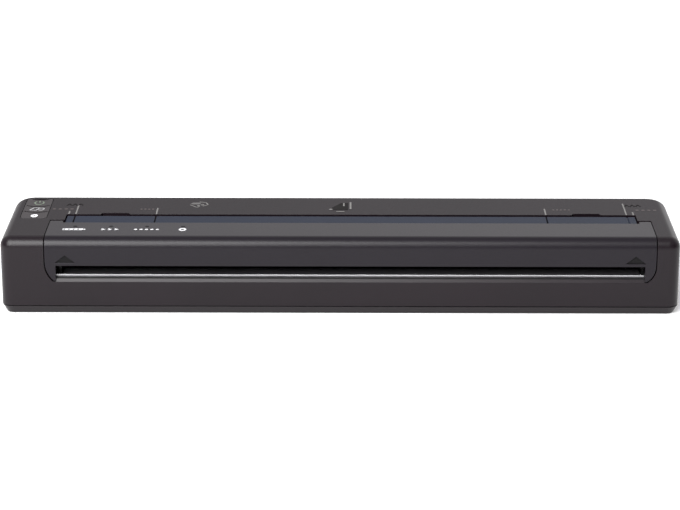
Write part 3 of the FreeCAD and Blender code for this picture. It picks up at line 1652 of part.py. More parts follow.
pieces = {
    "upper_housing": make_upper_housing,
    "lower_housing": make_lower_housing,
    "rubber_feet": make_rubber_feet,
    "release_cover": make_release_cover,
    "feed_lip_strip": make_feed_lip_strip,
    "cover_frame": make_cover_frame,
    "cover_screws": make_cover_screws,
    "hinge_pins": make_hinge_pins,
    "latch_studs": make_latch_studs,
    "latch_clips": make_latch_clips,
    "indicator_board": make_indicator_board,
    "indicator_light_pipes": make_indicator_light_pipes,
    "platen_shaft": make_platen_shaft,
    "platen_rubber": make_platen_rubber,
    "platen_gear": make_platen_gear,
    "platen_bushes": make_platen_bushes,
    "left_side_plate": make_left_side_plate,
    "right_side_plate": make_right_side_plate,
    "chassis_plate": make_chassis_plate,
    "chassis_screws": make_chassis_screws,
    "heatsink": make_heatsink,
    "heater_board": make_heater_board,
    "head_pivot_rod": make_head_pivot_rod,
    "head_springs": make_head_springs,
    "head_cable": make_head_cable,
    "cable_socket": make_cable_socket,
    "rear_paper_guide": make_rear_paper_guide,
    "exit_guide": make_exit_guide,
    "tear_bar": make_tear_bar,
    "paper_sensor_lever": make_paper_sensor_lever,
    "paper_sensor": make_paper_sensor,
    "reduction_gear": make_reduction_gear,
    "reduction_post": make_reduction_post,
    "motor_pinion": make_motor_pinion,
    "motor_shaft": make_motor_shaft,
    "motor_can": make_motor_can,
    "motor_bracket": make_motor_bracket,
    "motor_screws": make_motor_screws,
    "keypad_board": make_keypad_board,
    "key_switches": make_key_switches,
    "main_board": make_main_board,
    "board_components": make_board_components,
    "board_screws": make_board_screws,
    "interface_board": make_interface_board,
    "usb_socket": make_usb_socket,
    "power_jack": make_power_jack,
    "power_jack_pin": make_power_jack_pin,
    "battery_case": make_battery_case,
    "battery_cells": make_battery_cells,
    "battery_terminals": make_battery_terminals,
    "terminal_block": make_terminal_block,
    "battery_door": make_battery_door,
    "housing_screws": make_housing_screws,
}
key_names = ("wireless_key", "feed_key", "power_key")


def main():
    os.makedirs("parts", exist_ok=True)
    shapes = {name: maker() for name, maker in pieces.items()}
    for index, name in enumerate(key_names):
        shapes[name] = make_key(index)
    for name, shape in shapes.items():
        shape.exportStep("parts/" + name + ".step")
        print(name, len(shape.Solids), round(shape.Volume, 1), shape.isValid())
    return shapes


main()
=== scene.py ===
import json
import math

import bmesh
import bpy
from mathutils import Matrix, Vector


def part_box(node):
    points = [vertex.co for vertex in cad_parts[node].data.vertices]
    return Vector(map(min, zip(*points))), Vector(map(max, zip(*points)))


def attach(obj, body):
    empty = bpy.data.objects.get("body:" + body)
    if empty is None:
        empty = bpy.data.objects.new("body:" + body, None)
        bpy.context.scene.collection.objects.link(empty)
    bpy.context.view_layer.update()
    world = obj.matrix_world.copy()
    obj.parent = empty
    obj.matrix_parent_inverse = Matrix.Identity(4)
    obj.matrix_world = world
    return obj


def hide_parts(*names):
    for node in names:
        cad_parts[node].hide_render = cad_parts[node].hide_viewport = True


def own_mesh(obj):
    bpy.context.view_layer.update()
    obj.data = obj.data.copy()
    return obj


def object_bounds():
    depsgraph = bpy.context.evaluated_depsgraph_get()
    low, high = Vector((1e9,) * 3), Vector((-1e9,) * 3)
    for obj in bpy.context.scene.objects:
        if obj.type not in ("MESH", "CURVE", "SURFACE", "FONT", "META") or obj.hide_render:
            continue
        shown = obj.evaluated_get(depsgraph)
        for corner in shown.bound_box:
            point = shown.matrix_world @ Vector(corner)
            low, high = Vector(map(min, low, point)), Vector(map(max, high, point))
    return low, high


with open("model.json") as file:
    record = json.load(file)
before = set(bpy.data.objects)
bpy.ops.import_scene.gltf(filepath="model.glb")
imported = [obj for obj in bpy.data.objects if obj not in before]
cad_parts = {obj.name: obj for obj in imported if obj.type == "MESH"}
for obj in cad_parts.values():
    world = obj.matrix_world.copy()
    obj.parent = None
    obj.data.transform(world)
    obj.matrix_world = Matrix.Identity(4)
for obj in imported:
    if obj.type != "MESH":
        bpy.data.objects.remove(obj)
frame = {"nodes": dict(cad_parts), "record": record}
cad_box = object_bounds()
nodes = frame["nodes"]

# Lengths are written in millimetres and turned into metres by this value
MM = 0.001

# The photograph's camera
image_width_px = 680
focal_px = 2411.3
centre_shift_right_px = 1.123
centre_shift_down_px = -1.284
sensor_mm = 36.0
camera_elevation = math.radians(18.675)
camera_yaw = math.radians(0.188)
camera_roll = math.radians(0.068)
camera_distance = 930 * MM
camera_side = 0.314 * MM
camera_target = Vector((0, 0, 15 * MM))
camera_near = 10 * MM
camera_far = 100

# Places worked out from the frame
top_z = cad_box[1].z
front_y = cad_box[0].y
strip_low, strip_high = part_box("feed_lip_strip")
slot_edge_y = strip_high.y + 2.0 * MM
paper_centre_x = (strip_low.x + strip_high.x) / 2

# Prints and the lines of painted shade are thin plates that lie just above the face that carries them
mark_lift = 0.02 * MM
mark_thickness = 0.03 * MM

# Marks along the feed slot: half the width between a pair, and where its left and its right mark end, in millimetres
a4_half = 105.9
a5_half = 74.9
stop_half = 108.6
size_marks = ((a4_half, 14.2, 17.2), (a5_half, 10.3, 10.3), (stop_half, 6.2, 6.2))
mark_width = 0.55

# The part of the noise's range that colours and roughness run through
noise_span = (0.3, 0.7)

# How far a face has to look up, as the z of its normal, for the dulling of the top to start and to be full
dulling_span = (0.94, 0.995)


# Meshes and objects

def add_to_scene(name, data):
    obj = bpy.data.objects.new(name, data)
    bpy.context.scene.collection.objects.link(obj)
    return obj


def new_object(name, mesh_maker, material, body):
    work = bmesh.new()
    mesh_maker(work)
    bmesh.ops.recalc_face_normals(work, faces=work.faces)
    mesh = bpy.data.meshes.new(name)
    work.to_mesh(mesh)
    work.free()
    obj = add_to_scene(name, mesh)
    mesh.materials.append(material)
    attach(obj, body)
    return obj


def add_walls(work, first, second):
    """Four-sided faces between two loops of equally many points."""
    for i in range(len(first)):
        j = (i + 1) % len(first)
        work.faces.new((first[i], first[j], second[j], second[i]))


def add_prism(work, first, second):
    """Walls between two loops, with a face at each end."""
    work.faces.new(first)
    work.faces.new(list(reversed(second)))
    add_walls(work, first, second)


# Materials

class NodeTree:
    """Short calls for making and joining the nodes of a material or a world."""

    def __init__(self, owner):
        owner.use_nodes = True
        self.tree = owner.node_tree
        self.tree.nodes.clear()

    def node(self, kind, inputs=None, **values):
        """A new node with its own settings, and its inputs set by name."""
        made = self.tree.nodes.new(kind)
        for key, value in values.items():
            setattr(made, key, value)
        for key, value in (inputs or {}).items():
            made.inputs[key].default_value = value
        return made

    def link(self, output, target, socket):
        self.tree.links.new(output, target.inputs[socket])

    def combine(self, operation, first, second):
        """A sum, product or maximum of an output with another output or a number."""
        made = self.node("ShaderNodeMath", operation=operation)
        self.link(first, made, 0)
        if isinstance(second, float):
            made.inputs[1].default_value = second
        else:
            self.link(second, made, 1)
        return made.outputs["Value"]

    def map_range(self, source, start, end, low, high, **values):
        """The source's range from start to end, turned into low to high."""
        limits = {"From Min": start, "From Max": end, "To Min": low, "To Max": high}
        made = self.node("ShaderNodeMapRange", limits, **values)
        self.link(source, made, "Value")
        return made.outputs["Result"]


class Shader(NodeTree):
    """A new material, with the steps that the materials below share."""

    def __init__(self, name):
        self.material = bpy.data.materials.new(name)
        super().__init__(self.material)
        output = self.node("ShaderNodeOutputMaterial")
        self.surface = self.node("ShaderNodeBsdfPrincipled")
        self.link(self.surface.outputs["BSDF"], output, "Surface")
        self.place = self.node("ShaderNodeTexCoord")

    def noise(self, size, detail=2.0, stretch=(1, 1, 1)):
        """Noise whose features are about size metres wide, stretched along the axes."""
        mapping = self.node("ShaderNodeMapping", {"Scale": tuple(1 / s for s in stretch)})
        self.link(self.place.outputs["Object"], mapping, "Vector")
        texture = self.node("ShaderNodeTexNoise", {"Scale": 1 / size, "Detail": detail})
        self.link(mapping.outputs["Vector"], texture, "Vector")
        return texture.outputs["Fac"]

    def paint(self, low, high, source):
        """A base colour that runs from low to high with the source."""
        ramp = self.node("ShaderNodeValToRGB")
        for element, position, colour in zip(ramp.color_ramp.elements, noise_span, (low, high)):
            element.position = position
            element.color = (*colour, 1)
        self.link(source, ramp, "Fac")
        self.link(ramp.outputs["Color"], self.surface, "Base Color")

    def roughen(self, low, high, source, extra=None):
        """Roughness that runs from low to high with the source, with an extra share on top where one is given."""
        rough = self.map_range(source, *noise_span, low, high)
        if extra is not None:
            rough = self.combine("ADD", rough, extra)
        self.link(rough, self.surface, "Roughness")

    def relief(self, source, depth, strength, soft_edge=0.0):
        """Fine relief, and with soft_edge the look of edges that are rounded by that radius."""
        bump = self.node("ShaderNodeBump", {"Strength": strength, "Distance": depth})
        self.link(source, bump, "Height")
        if soft_edge:
            edge = self.node("ShaderNodeBevel", {"Radius": soft_edge}, samples=4)
            self.link(edge.outputs["Normal"], bump, "Normal")
        self.link(bump.outputs["Normal"], self.surface, "Normal")


def shade(colour, factor):
    return tuple(min(1.0, c * factor) for c in colour)


def moulded_plastic(name, colour, roughness, grain=0.22 * MM, relief=0.12, variation=0.12, ior=1.41,
                    top_dulling=0.0):
    """Grained plastic. With top_dulling, the faces that look up have a rougher texture than the sides."""
    shader = Shader(name)
    shader.surface.inputs["IOR"].default_value = ior
    broad = shader.noise(size=35 * MM, detail=4.0)
    shader.paint(shade(colour, 1 - variation), shade(colour, 1 + variation), broad)
    fine = shader.noise(grain, detail=3.0)
    dulling = None
    if top_dulling:
        parts = shader.node("ShaderNodeSeparateXYZ")
        shader.link(shader.place.outputs["Normal"], parts, "Vector")
        dulling = shader.map_range(parts.outputs["Z"], *dulling_span, 0.0, top_dulling)
    shader.roughen(roughness - 0.04, roughness + 0.04, fine, dulling)
    shader.relief(fine, depth=0.02 * MM, strength=relief, soft_edge=0.25 * MM)
    return shader.material


def metal(name, colour, roughness, stretch=(25, 1, 1)):
    """Metal with fine lines along its length."""
    shader = Shader(name)
    shader.surface.inputs["Metallic"].default_value = 1.0
    lines = shader.noise(size=0.15 * MM, detail=4.0, stretch=stretch)
    shader.paint(shade(colour, 0.86), shade(colour, 1.06), lines)
    shader.roughen(roughness - 0.06, roughness + 0.08, lines)
    shader.relief(lines, depth=0.01 * MM, strength=0.25, soft_edge=0.1 * MM)
    return shader.material


def rubber(name, colour, roughness=0.75):
    shader = Shader(name)
    fine = shader.noise(size=0.3 * MM, detail=5.0)
    shader.paint(shade(colour, 0.75), shade(colour, 1.35), fine)
    shader.roughen(roughness - 0.1, roughness + 0.1, fine)
    shader.relief(fine, depth=0.05 * MM, strength=0.35, soft_edge=0.2 * MM)
    return shader.material


def circuit_board(name, colour):
    """Coated laminate with copper tracks that show through as a lighter green."""
    shader = Shader(name)
    mapping = shader.node("ShaderNodeMapping", {"Scale": (1, 1, 0)})
    shader.link(shader.place.outputs["Object"], mapping, "Vector")
    track_pattern = {
        "Scale": 1 / (9 * MM),
        "Mortar Size": 0.035,
        "Brick Width": 1.3,
        "Row Height": 0.16,
        "Color1": (*shade(colour, 0.85), 1),
        "Color2": (*shade(colour, 1.1), 1),
        "Mortar": (*shade(colour, 1.9), 1),
    }
    tracks = shader.node("ShaderNodeTexBrick", track_pattern, offset=0.37, squash=1.6, squash_frequency=3)
    shader.link(mapping.outputs["Vector"], tracks, "Vector")
    shader.link(tracks.outputs["Color"], shader.surface, "Base Color")
    fine = shader.noise(size=0.5 * MM)
    shader.roughen(0.28, 0.4, fine)
    shader.relief(tracks.outputs["Fac"], depth=0.03 * MM, strength=0.3)
    return shader.material


def smoked_lens(name):
    """Unlit indicator: a dark clear plastic tip."""
    shader = Shader(name)
    fine = shader.noise(size=0.6 * MM)
    shader.paint((0.002, 0.002, 0.002), (0.005, 0.005, 0.006), fine)
    shader.roughen(0.3, 0.4, fine)
    shader.surface.inputs["IOR"].default_value = 1.12
    return shader.material


def printed_ink(name, colour, roughness=0.5, ior=1.45):
    shader = Shader(name)
    shader.surface.inputs["IOR"].default_value = ior
    speck = shader.noise(size=0.25 * MM, detail=3.0)
    shader.paint(shade(colour, 0.88), shade(colour, 1.04), speck)
    shader.roughen(roughness - 0.06, roughness + 0.06, speck)
    shader.relief(speck, depth=0.01 * MM, strength=0.2)
    return shader.material


slot_materials = {
    "housing_plastic": moulded_plastic("housing_grain", (0.0066, 0.0034, 0.0056), 0.35, ior=1.36, top_dulling=0.17),
    "cover_plastic": moulded_plastic("cover_grain", (0.0060, 0.0040, 0.0072), 0.36, ior=1.36),
    "strip_plastic": moulded_plastic("strip_satin", (0.005, 0.010, 0.025), 0.50, grain=0.15 * MM, ior=1.25),
    "key_plastic": moulded_plastic("key_grain", (0.022, 0.017, 0.019), 0.45),
    "foot_rubber": rubber("foot_rubber_grain", (0.012, 0.012, 0.013)),
    "roller_rubber": rubber("roller_rubber_grain", (0.010, 0.010, 0.011), 0.6),
    "sheet_steel": metal("zinc_sheet", (0.55, 0.56, 0.58), 0.38),
    "coated_steel": moulded_plastic("black_coat", (0.007, 0.007, 0.0075), 0.55, grain=0.4 * MM, relief=0.2),
    "shaft_steel": metal("ground_steel", (0.66, 0.67, 0.69), 0.24),
    "spring_steel": metal("spring_steel_drawn", (0.6, 0.6, 0.62), 0.3),
    "screw_steel": metal("screw_steel_plated", (0.32, 0.32, 0.34), 0.35),
    "heatsink_aluminium": metal("anodised_extrusion", (0.030, 0.030, 0.032), 0.42),
    "heater_glaze": moulded_plastic("ceramic_glaze", (0.72, 0.70, 0.62), 0.15, variation=0.04, relief=0.03),
    "board_laminate": circuit_board("board_laminate_green", (0.010, 0.075, 0.028)),
    "chip_resin": moulded_plastic("chip_resin_black", (0.012, 0.012, 0.013), 0.5),
    "socket_plastic": moulded_plastic("socket_natural", (0.62, 0.58, 0.48), 0.45, variation=0.05),
    "gear_plastic": moulded_plastic("gear_black", (0.012, 0.012, 0.013), 0.4),
    "guide_plastic": moulded_plastic("guide_black", (0.006, 0.006, 0.0065), 0.45),
    "exit_plastic": moulded_plastic("exit_guide_grey", (0.090, 0.084, 0.094), 0.5),
    "clear_plastic": smoked_lens("smoked_lens_tip"),
    "flat_cable": moulded_plastic("ribbon_film", (0.60, 0.60, 0.54), 0.35, variation=0.06),
    "motor_steel": metal("motor_can_drawn", (0.50, 0.50, 0.52), 0.34),
    "contact_metal": metal("plated_contact", (0.78, 0.60, 0.28), 0.25),
    "battery_plastic": moulded_plastic("battery_black", (0.010, 0.010, 0.011), 0.5),
    "cell_can": moulded_plastic("cell_film", (0.06, 0.12, 0.26), 0.35),
    "bush_plastic": moulded_plastic("bush_dark", (0.03, 0.03, 0.032), 0.4),
}
white_ink = printed_ink("white_print", (0.80, 0.80, 0.82))
grey_ink = printed_ink("grey_print", (0.17, 0.165, 0.16))
faint_ink = printed_ink("faint_print", (0.075, 0.060, 0.058))
green_ink = printed_ink("pale_green_print", (0.16, 0.20, 0.15))
key_ink = printed_ink("key_print", (0.36, 0.36, 0.37))
grey_faint_ink = printed_ink("faint_grey_print", (0.10, 0.095, 0.095))
# Dark ink for the prints, and for the painted shade between the keys
dark_print_and_shade_ink = printed_ink("dark_print_and_painted_shade", (0.006, 0.005, 0.005), 0.8, 1.31)
# Black for painted shade: the line along the lip's edge and the floors of the pull marks
black_shade_ink = printed_ink("black_painted_shade", (0.004, 0.0035, 0.004), 0.7, 1.29)
# Near-black for painted shade on the floors of the strip's grooves
groove_shade_ink = printed_ink("groove_painted_shade", (0.003, 0.003, 0.004), 0.8, 1.15)

node_slot = {row["node"]: row["material_slot"] for row in frame["record"]["subparts"]}
for node_name, node_object in nodes.items():
    node_object.data.materials.clear()
    node_object.data.materials.append(slot_materials[node_slot[node_name]])


# Flat marks, drawn as thin plates on a face. Their coordinates are in millimetres

def on_top(x, y):
    return top_z + mark_lift


def plate_maker(outlines, height):
    """Closed outlines as lists of (x, y), each raised to height(x, y) and given the thickness of a flat mark."""

    def build(work):
        for outline in outlines:
            low = [work.verts.new((x, y, height(x, y))) for x, y in outline]
            high = [work.verts.new((x, y, height(x, y) + mark_thickness)) for x, y in outline]
            add_prism(work, high, low)

    return build


def lay_flat_marks(name, outlines, material, body, height=on_top):
    scaled = [[(x * MM, y * MM) for x, y in outline] for outline in outlines]
    return new_object(name, plate_maker(scaled, height), material, body)


def ring_strips(cx, cy, radius, width, start=0.0, end=360.0, stretch=1.0, count=28):
    """A ring or part of one, as short four-sided plates."""
    inner, outer = radius - width / 2, radius + width / 2
    outlines = []
    for i in range(count):
        a = math.radians(start + (end - start) * i / count)
        b = math.radians(start + (end - start) * (i + 1) / count)
        corners = ((inner, a), (outer, a), (outer, b), (inner, b))
        outlines.append([(cx + r * math.cos(t), cy + r * math.sin(t) * stretch) for r, t in corners])
    return outlines


def bar(x0, y0, x1, y1, width):
    """A straight stroke from one point to another."""
    along = Vector((x1 - x0, y1 - y0)).normalized()
    side = Vector((-along.y, along.x)) * width / 2
    return [
        (x0 + side.x, y0 + side.y), (x0 - side.x, y0 - side.y),
        (x1 - side.x, y1 - side.y), (x1 + side.x, y1 + side.y),
    ]


def strokes(points, width, closed=False):
    pairs = list(zip(points, points[1:])) + ([(points[-1], points[0])] if closed else [])
    return [bar(a[0], a[1], b[0], b[1], width) for a, b in pairs]


def add_size_marks():
    centre = paper_centre_x / MM
    front = slot_edge_y / MM + 0.1
    outlines = []
    for half, left_rear, right_rear in size_marks:
        outlines.append(bar(centre - half, front, centre - half, left_rear, mark_width))
        outlines.append(bar(centre + half, front, centre + half, right_rear, mark_width))
    lay_flat_marks("feed_size_marks", outlines, grey_ink, "base")


def add_size_dashes():
    """Rows of short dashes and of small peaks beside the size marks, in place of the lettering there."""
    # Each row of dashes: where it starts, how many it has and how far apart they stand
    rows = ((-111.4, 8.9, 4, 2.3), (-77.4, 8.9, 4, 1.5), (82.0, 9.0, 5, 1.5), (114.2, 8.9, 4, 2.3))
    dash_share = 0.5
    dash_width = 1.0
    dashes = []
    for x, y, count, pitch in rows:
        for i in range(count):
            dashes.append(bar(x + i * pitch, y, x + i * pitch + pitch * dash_share, y, dash_width))
    lay_flat_marks("size_dashes", dashes, faint_ink, "base")
    peak = ((0.0, 13.3), (0.9, 15.6), (1.8, 13.5))
    peak_pitch = 2.2
    peak_width = 0.6
    peaks = []
    for start in (-106.4, 110.4):
        for i in range(3):
            peaks += strokes([(start + i * peak_pitch + x, y) for x, y in peak], peak_width)
    lay_flat_marks("size_arrows", peaks, dark_print_and_shade_ink, "base")


def add_pictograms():
    """Two small signs of sheets on the rear top: two sheets that overlap, and a sheet that goes into the slot."""
    upper_sheet = [(-58.6, 15.2), (-57.5, 17.4), (-54.2, 17.6), (-54.9, 15.0)]
    left_edge = [(-58.4, 14.4), (-55.8, 11.4), (-54.6, 12.2)]
    right_edge = [(-55.0, 18.6), (-52.4, 17.4), (-51.6, 14.8), (-53.4, 12.8)]
    edge_width = 0.45
    edges = strokes(left_edge, edge_width) + strokes(right_edge, edge_width)
    for x, y in ((-53.7, 14.6), (-55.2, 13.4)):
        edges += ring_strips(x, y, radius=0.4, width=0.5, count=10)
    lay_flat_marks("upper_sheet_sign", [upper_sheet], grey_faint_ink, "base")
    lay_flat_marks("sheet_edge_sign", edges, grey_ink, "base")

    slot_sheet = [(-3.4, 11.2), (0.2, 17.2), (3.0, 17.6), (3.0, 8.4), (-3.0, 8.4)]
    lines = strokes([(3.9, 18.2), (3.9, 9.4)], width=0.7) + strokes([(1.3, 17.0), (1.3, 13.2)], width=0.6)
    lines += ring_strips(-3.7, 9.0, radius=0.4, width=0.6, count=12) + [bar(-1.6, 6.2, 1.6, 6.2, width=0.7)]
    over_sheet = 2 * mark_thickness
    lay_flat_marks("slot_sheet_sign", [slot_sheet], dark_print_and_shade_ink, "base")
    lay_flat_marks("slot_arrow_sign", lines, grey_ink, "base", lambda x, y: on_top(x, y) + over_sheet)


def add_indicator_marks():
    """Plain signs under the indicators: battery level, arrows for data, a row of dots, and a ring."""
    y = -16.3
    low, high = y - 0.75, y + 0.75
    case_left, case_right = -104.6, -97.2
    case = [(case_left, low), (case_right, low), (case_right, high), (case_left, high)]
    level_left, level_length, level_pitch = -103.8, 1.1, 1.75
    battery = strokes(case, width=0.35, closed=True)
    for i in range(4):
        left = level_left + i * level_pitch
        battery.append(bar(left, y, left + level_length, y, width=0.95))
    battery.append(bar(-96.9, y, -96.2, y, width=0.8))
    arrow_left, arrow_length, arrow_pitch = -90.1, 1.3, 2.5
    arrows = []
    for i in range(3):
        left = arrow_left + i * arrow_pitch
        arrows += strokes([(left, high), (left + arrow_length, y), (left, low)], width=0.5)
    dot_left, dot_pitch = -77.2, 2.05
    dots = []
    for i in range(5):
        dots += ring_strips(dot_left + i * dot_pitch, y, radius=0.38, width=0.5, count=10)
    ring = ring_strips(-59.5, y, radius=1.05, width=0.75, stretch=1.15, count=24)
    lay_flat_marks("indicator_signs", battery + arrows + dots + ring, white_ink, "cover")


def add_strip_groove_shade():
    """Painted shade: dark lines on the floors of the grooves that carry the size marks on over the feed strip."""
    centre = paper_centre_x / MM
    front = strip_low.y / MM + 0.3
    rear = strip_high.y / MM - 0.1
    groove_width = 0.5
    groove_depth = 0.35 * MM
    groove_floor = strip_high.z - groove_depth + mark_lift
    grooves = [bar(x, front, x, rear, groove_width) for x in (centre - a4_half, centre - a5_half, centre + a5_half)]
    lay_flat_marks("strip_groove_painted_shade", grooves, groove_shade_ink, "cover", lambda x, y: groove_floor)


# Keys with their printed signs, which lie in the hollow of each key's top, and painted shade between the keys

def key_surface(node):
    """The key's middle in millimetres, and the height of its hollow top."""
    low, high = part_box(node)
    middle = (low.x + high.x) / 2
    dish_radius = 24.0 * MM
    dish_depth = 0.35 * MM

    def height(x, y):
        return high.z - dish_depth + (x - middle) ** 2 / (2 * dish_radius) + mark_lift

    return middle / MM, height


def key_middle_y(index):
    """The middle of one of the three keys in millimetres, counted from the front."""
    key_count = 3
    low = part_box("wireless_key")[0].y
    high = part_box("power_key")[1].y
    return (low + (high - low) * (index + 0.5) / key_count) / MM


def add_key_signs():
    line_width = 0.5
    x, height = key_surface("power_key")
    y = key_middle_y(2) - 0.2
    power = ring_strips(x, y, radius=1.75, width=line_width, start=125, end=415, stretch=1.15)
    power.append(bar(x, y + 0.6, x, y + 2.7, line_width))
    lay_flat_marks("power_sign", power, green_ink, "rear_key", height)

    x, height = key_surface("feed_key")
    y = key_middle_y(1)
    sheet = [(x - 2.6, y - 1.5), (x - 1.2, y + 1.7), (x + 1.0, y + 1.7), (x - 0.2, y - 1.5)]
    feed = strokes(sheet, line_width, closed=True)
    feed += ring_strips(x + 1.7, y - 0.1, radius=1.1, width=line_width, start=-150, end=120, stretch=1.2, count=18)
    lay_flat_marks("feed_sign", feed, key_ink, "middle_key", height)

    x, height = key_surface("wireless_key")
    y = key_middle_y(0) - 0.2
    oval = ring_strips(x, y, radius=0.9, width=1.0, stretch=1.3, count=30)
    lay_flat_marks("wireless_sign", oval, white_ink, "front_key", height)

    # Painted shade: dark bowed lines near the front and rear edges of the middle key, where shade falls between the
    # keys
    low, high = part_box("feed_key")
    x, height = key_surface("feed_key")
    half = (high.x - low.x) / (2 * MM) - 1.2
    edge_inset = 0.75
    bow = 0.35
    lines = []
    for y in (low.y / MM + edge_inset, high.y / MM - edge_inset):
        line = [(x - half, y + bow), (x - half / 3, y), (x + half / 3, y), (x + half, y + bow)]
        lines += strokes(line, width=0.45)
    lay_flat_marks("key_edge_painted_shade", lines, dark_print_and_shade_ink, "middle_key", height)


# Painted shade: dark faces on the floors of the two recessed triangular pull marks beside the slot

def add_pull_mark_painted_shade():
    inset = 3.6 * MM
    half_width = 3.7 * MM
    height = 2.9 * MM
    base_z = top_z - 9.55 * MM
    depth = 0.4 * MM
    tear_low, tear_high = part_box("tear_bar")

    def build(work):
        for x in (tear_low.x + inset, tear_high.x - inset):
            corners = [(x - half_width, base_z), (x + half_width, base_z), (x, base_z + height)]
            front = [work.verts.new((cx, front_y + depth - mark_thickness, cz)) for cx, cz in corners]
            back = [work.verts.new((cx, front_y + depth + mark_thickness, cz)) for cx, cz in corners]
            add_prism(work, front, back)

    new_object("pull_mark_painted_shade", build, black_shade_ink, "cover")


# Painted shade: a dark line along the top edge of the lip, in front of the tear bar, where the gap under the bar is
# in shade

def add_lip_painted_shade_line():
    low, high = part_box("tear_bar")
    slope_depth = 1.15 * MM
    slope_height = 1.5 * MM
    lip_top = low.z + 0.3 * MM
    edge = front_y + slope_depth
    rear = low.y - 0.85 * MM
    reach = 0.5 * MM
    down = Vector((-slope_depth, -slope_height)).normalized()
    outward = Vector((down.y, -down.x))

    def profile(lift):
        """The line's section as points (y, z), lift above the lip's top and its sloping face."""
        return [
            Vector((rear, lip_top + lift)),
            Vector((edge + outward.x / (1 + outward.y) * lift, lip_top + lift)),
            Vector((edge, lip_top)) + down * reach + outward * lift,
        ]

    def build(work):
        section = profile(mark_lift + mark_thickness) + list(reversed(profile(mark_lift)))
        left = [work.verts.new((low.x, p.x, p.y)) for p in section]
        right = [work.verts.new((high.x, p.x, p.y)) for p in section]
        add_prism(work, left, right)

    new_object("lip_painted_shade_line", build, black_shade_ink, "base")


# Tear bar with fine teeth, in place of its plain solid

def add_tear_bar():
    low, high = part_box("tear_bar")
    pitch = 0.8 * MM
    tooth = 0.18 * MM
    worn = 0.15 * MM
    blade = 0.6 * MM
    foot = 0.5 * MM
    plate_gap = 0.3 * MM
    foot_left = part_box("left_side_plate")[1].x + plate_gap
    foot_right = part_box("right_side_plate")[0].x - plate_gap
    count = int((high.x - low.x) / pitch)
    step = (high.x - low.x) / count

    def build(work):
        rim = []
        for i in range(count):
            rim += [(low.x + step * i, high.z - worn - tooth), (low.x + step * (i + 0.5), high.z - worn)]
        rim.append((high.x, high.z - worn - tooth))
        outline = [(low.x, low.z), *rim, (high.x, low.z)]
        front = [work.verts.new((x, low.y, z)) for x, z in outline]
        back = [work.verts.new((x, low.y + blade, z)) for x, z in outline]
        add_prism(work, front, back)
        box = bmesh.ops.create_cube(work, size=1)
        for vert in box["verts"]:
            vert.co.x = foot_left if vert.co.x < 0 else foot_right
            vert.co.y = low.y + blade / 2 if vert.co.y < 0 else high.y
            vert.co.z = low.z if vert.co.z < 0 else low.z + foot

    blade_steel = metal("blade_steel", (0.70, 0.70, 0.72), 0.34, stretch=(400, 1, 1))
    made = new_object("toothed_tear_bar", build, blade_steel, "base")
    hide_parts("tear_bar")


# Springs under the print head, as a mesh of their own on the base

def add_head_springs():
    source = nodes["head_springs"]
    mesh = source.data.copy()
    mesh.transform(source.matrix_world)
    springs = add_to_scene("head_coil_springs", mesh)
    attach(springs, "base")
    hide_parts("head_springs")
    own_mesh(springs)


# Screws under the body, with cross recesses

def screw_middles(points, foot_z, spacing):
    """The middle of each screw in a mesh that holds several, seen from below."""
    places = []
    for point in points:
        if abs(point.z - foot_z) < 0.01 * MM and all((point.xy - p).length > spacing for p in places):
            places.append(point.xy)
    groups = [[] for _ in places]
    for point in points:
        nearest = min(range(len(places)), key=lambda i: (point.xy - places[i]).length)
        groups[nearest].append(point.xy)
    return [
        ((min(p.x for p in g) + max(p.x for p in g)) / 2, (min(p.y for p in g) + max(p.y for p in g)) / 2)
        for g in groups
    ]


def add_housing_screws():
    low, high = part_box("housing_screws")
    head_radius = 1.9 * MM
    head_height = 0.9 * MM
    shank_radius = 1.0 * MM
    # A screw's section from its driven face to its tip, as radius and height
    profile = [
        (head_radius * 0.72, low.z),
        (head_radius * 0.95, low.z + head_height * 0.22),
        (head_radius, low.z + head_height * 0.55),
        (head_radius, low.z + head_height),
        (shank_radius, low.z + head_height),
        (shank_radius, high.z - shank_radius * 0.6),
        (shank_radius * 0.4, high.z),
    ]
    sides = 32
    angles = [2 * math.pi * i / sides for i in range(sides)]
    arm = 1.15 * MM
    groove = 0.3 * MM
    depth = 0.55 * MM
    floor_share = 0.8
    quarter = [(arm, -groove), (arm, groove), (groove, groove)]
    cross = []
    for _ in range(4):
        cross += quarter
        quarter = [(-y, x) for x, y in quarter]
    points = [vert.co for vert in nodes["housing_screws"].data.vertices]
    middles = screw_middles(points, low.z, 3 * head_radius)

    def edges_of(work, loop):
        return [work.edges.get(pair) for pair in zip(loop, loop[1:] + loop[:1])]

    def build(work):
        for cx, cy in middles:
            rings = [
                [work.verts.new((cx + radius * math.cos(t), cy + radius * math.sin(t), z)) for t in angles]
                for radius, z in profile
            ]
            for lower, upper in zip(rings, rings[1:]):
                add_walls(work, lower, upper)
            work.faces.new(rings[-1])
            mouth = [work.verts.new((cx + x, cy + y, low.z)) for x, y in cross]
            floor = [
                work.verts.new((cx + x * floor_share, cy + y * floor_share, low.z + depth)) for x, y in cross
            ]
            add_walls(work, mouth, floor)
            work.faces.new(floor)
            rim = edges_of(work, rings[0]) + edges_of(work, mouth)
            bmesh.ops.triangle_fill(work, use_beauty=True, edges=rim)

    made = new_object("cross_head_screws", build, slot_materials["screw_steel"], "base")
    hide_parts("housing_screws")


add_size_marks()
add_size_dashes()
add_pictograms()
add_indicator_marks()
add_strip_groove_shade()
add_key_signs()
add_pull_mark_painted_shade()
add_lip_painted_shade_line()
add_tear_bar()
add_head_springs()
add_housing_screws()


# Camera at the photograph's viewing angle

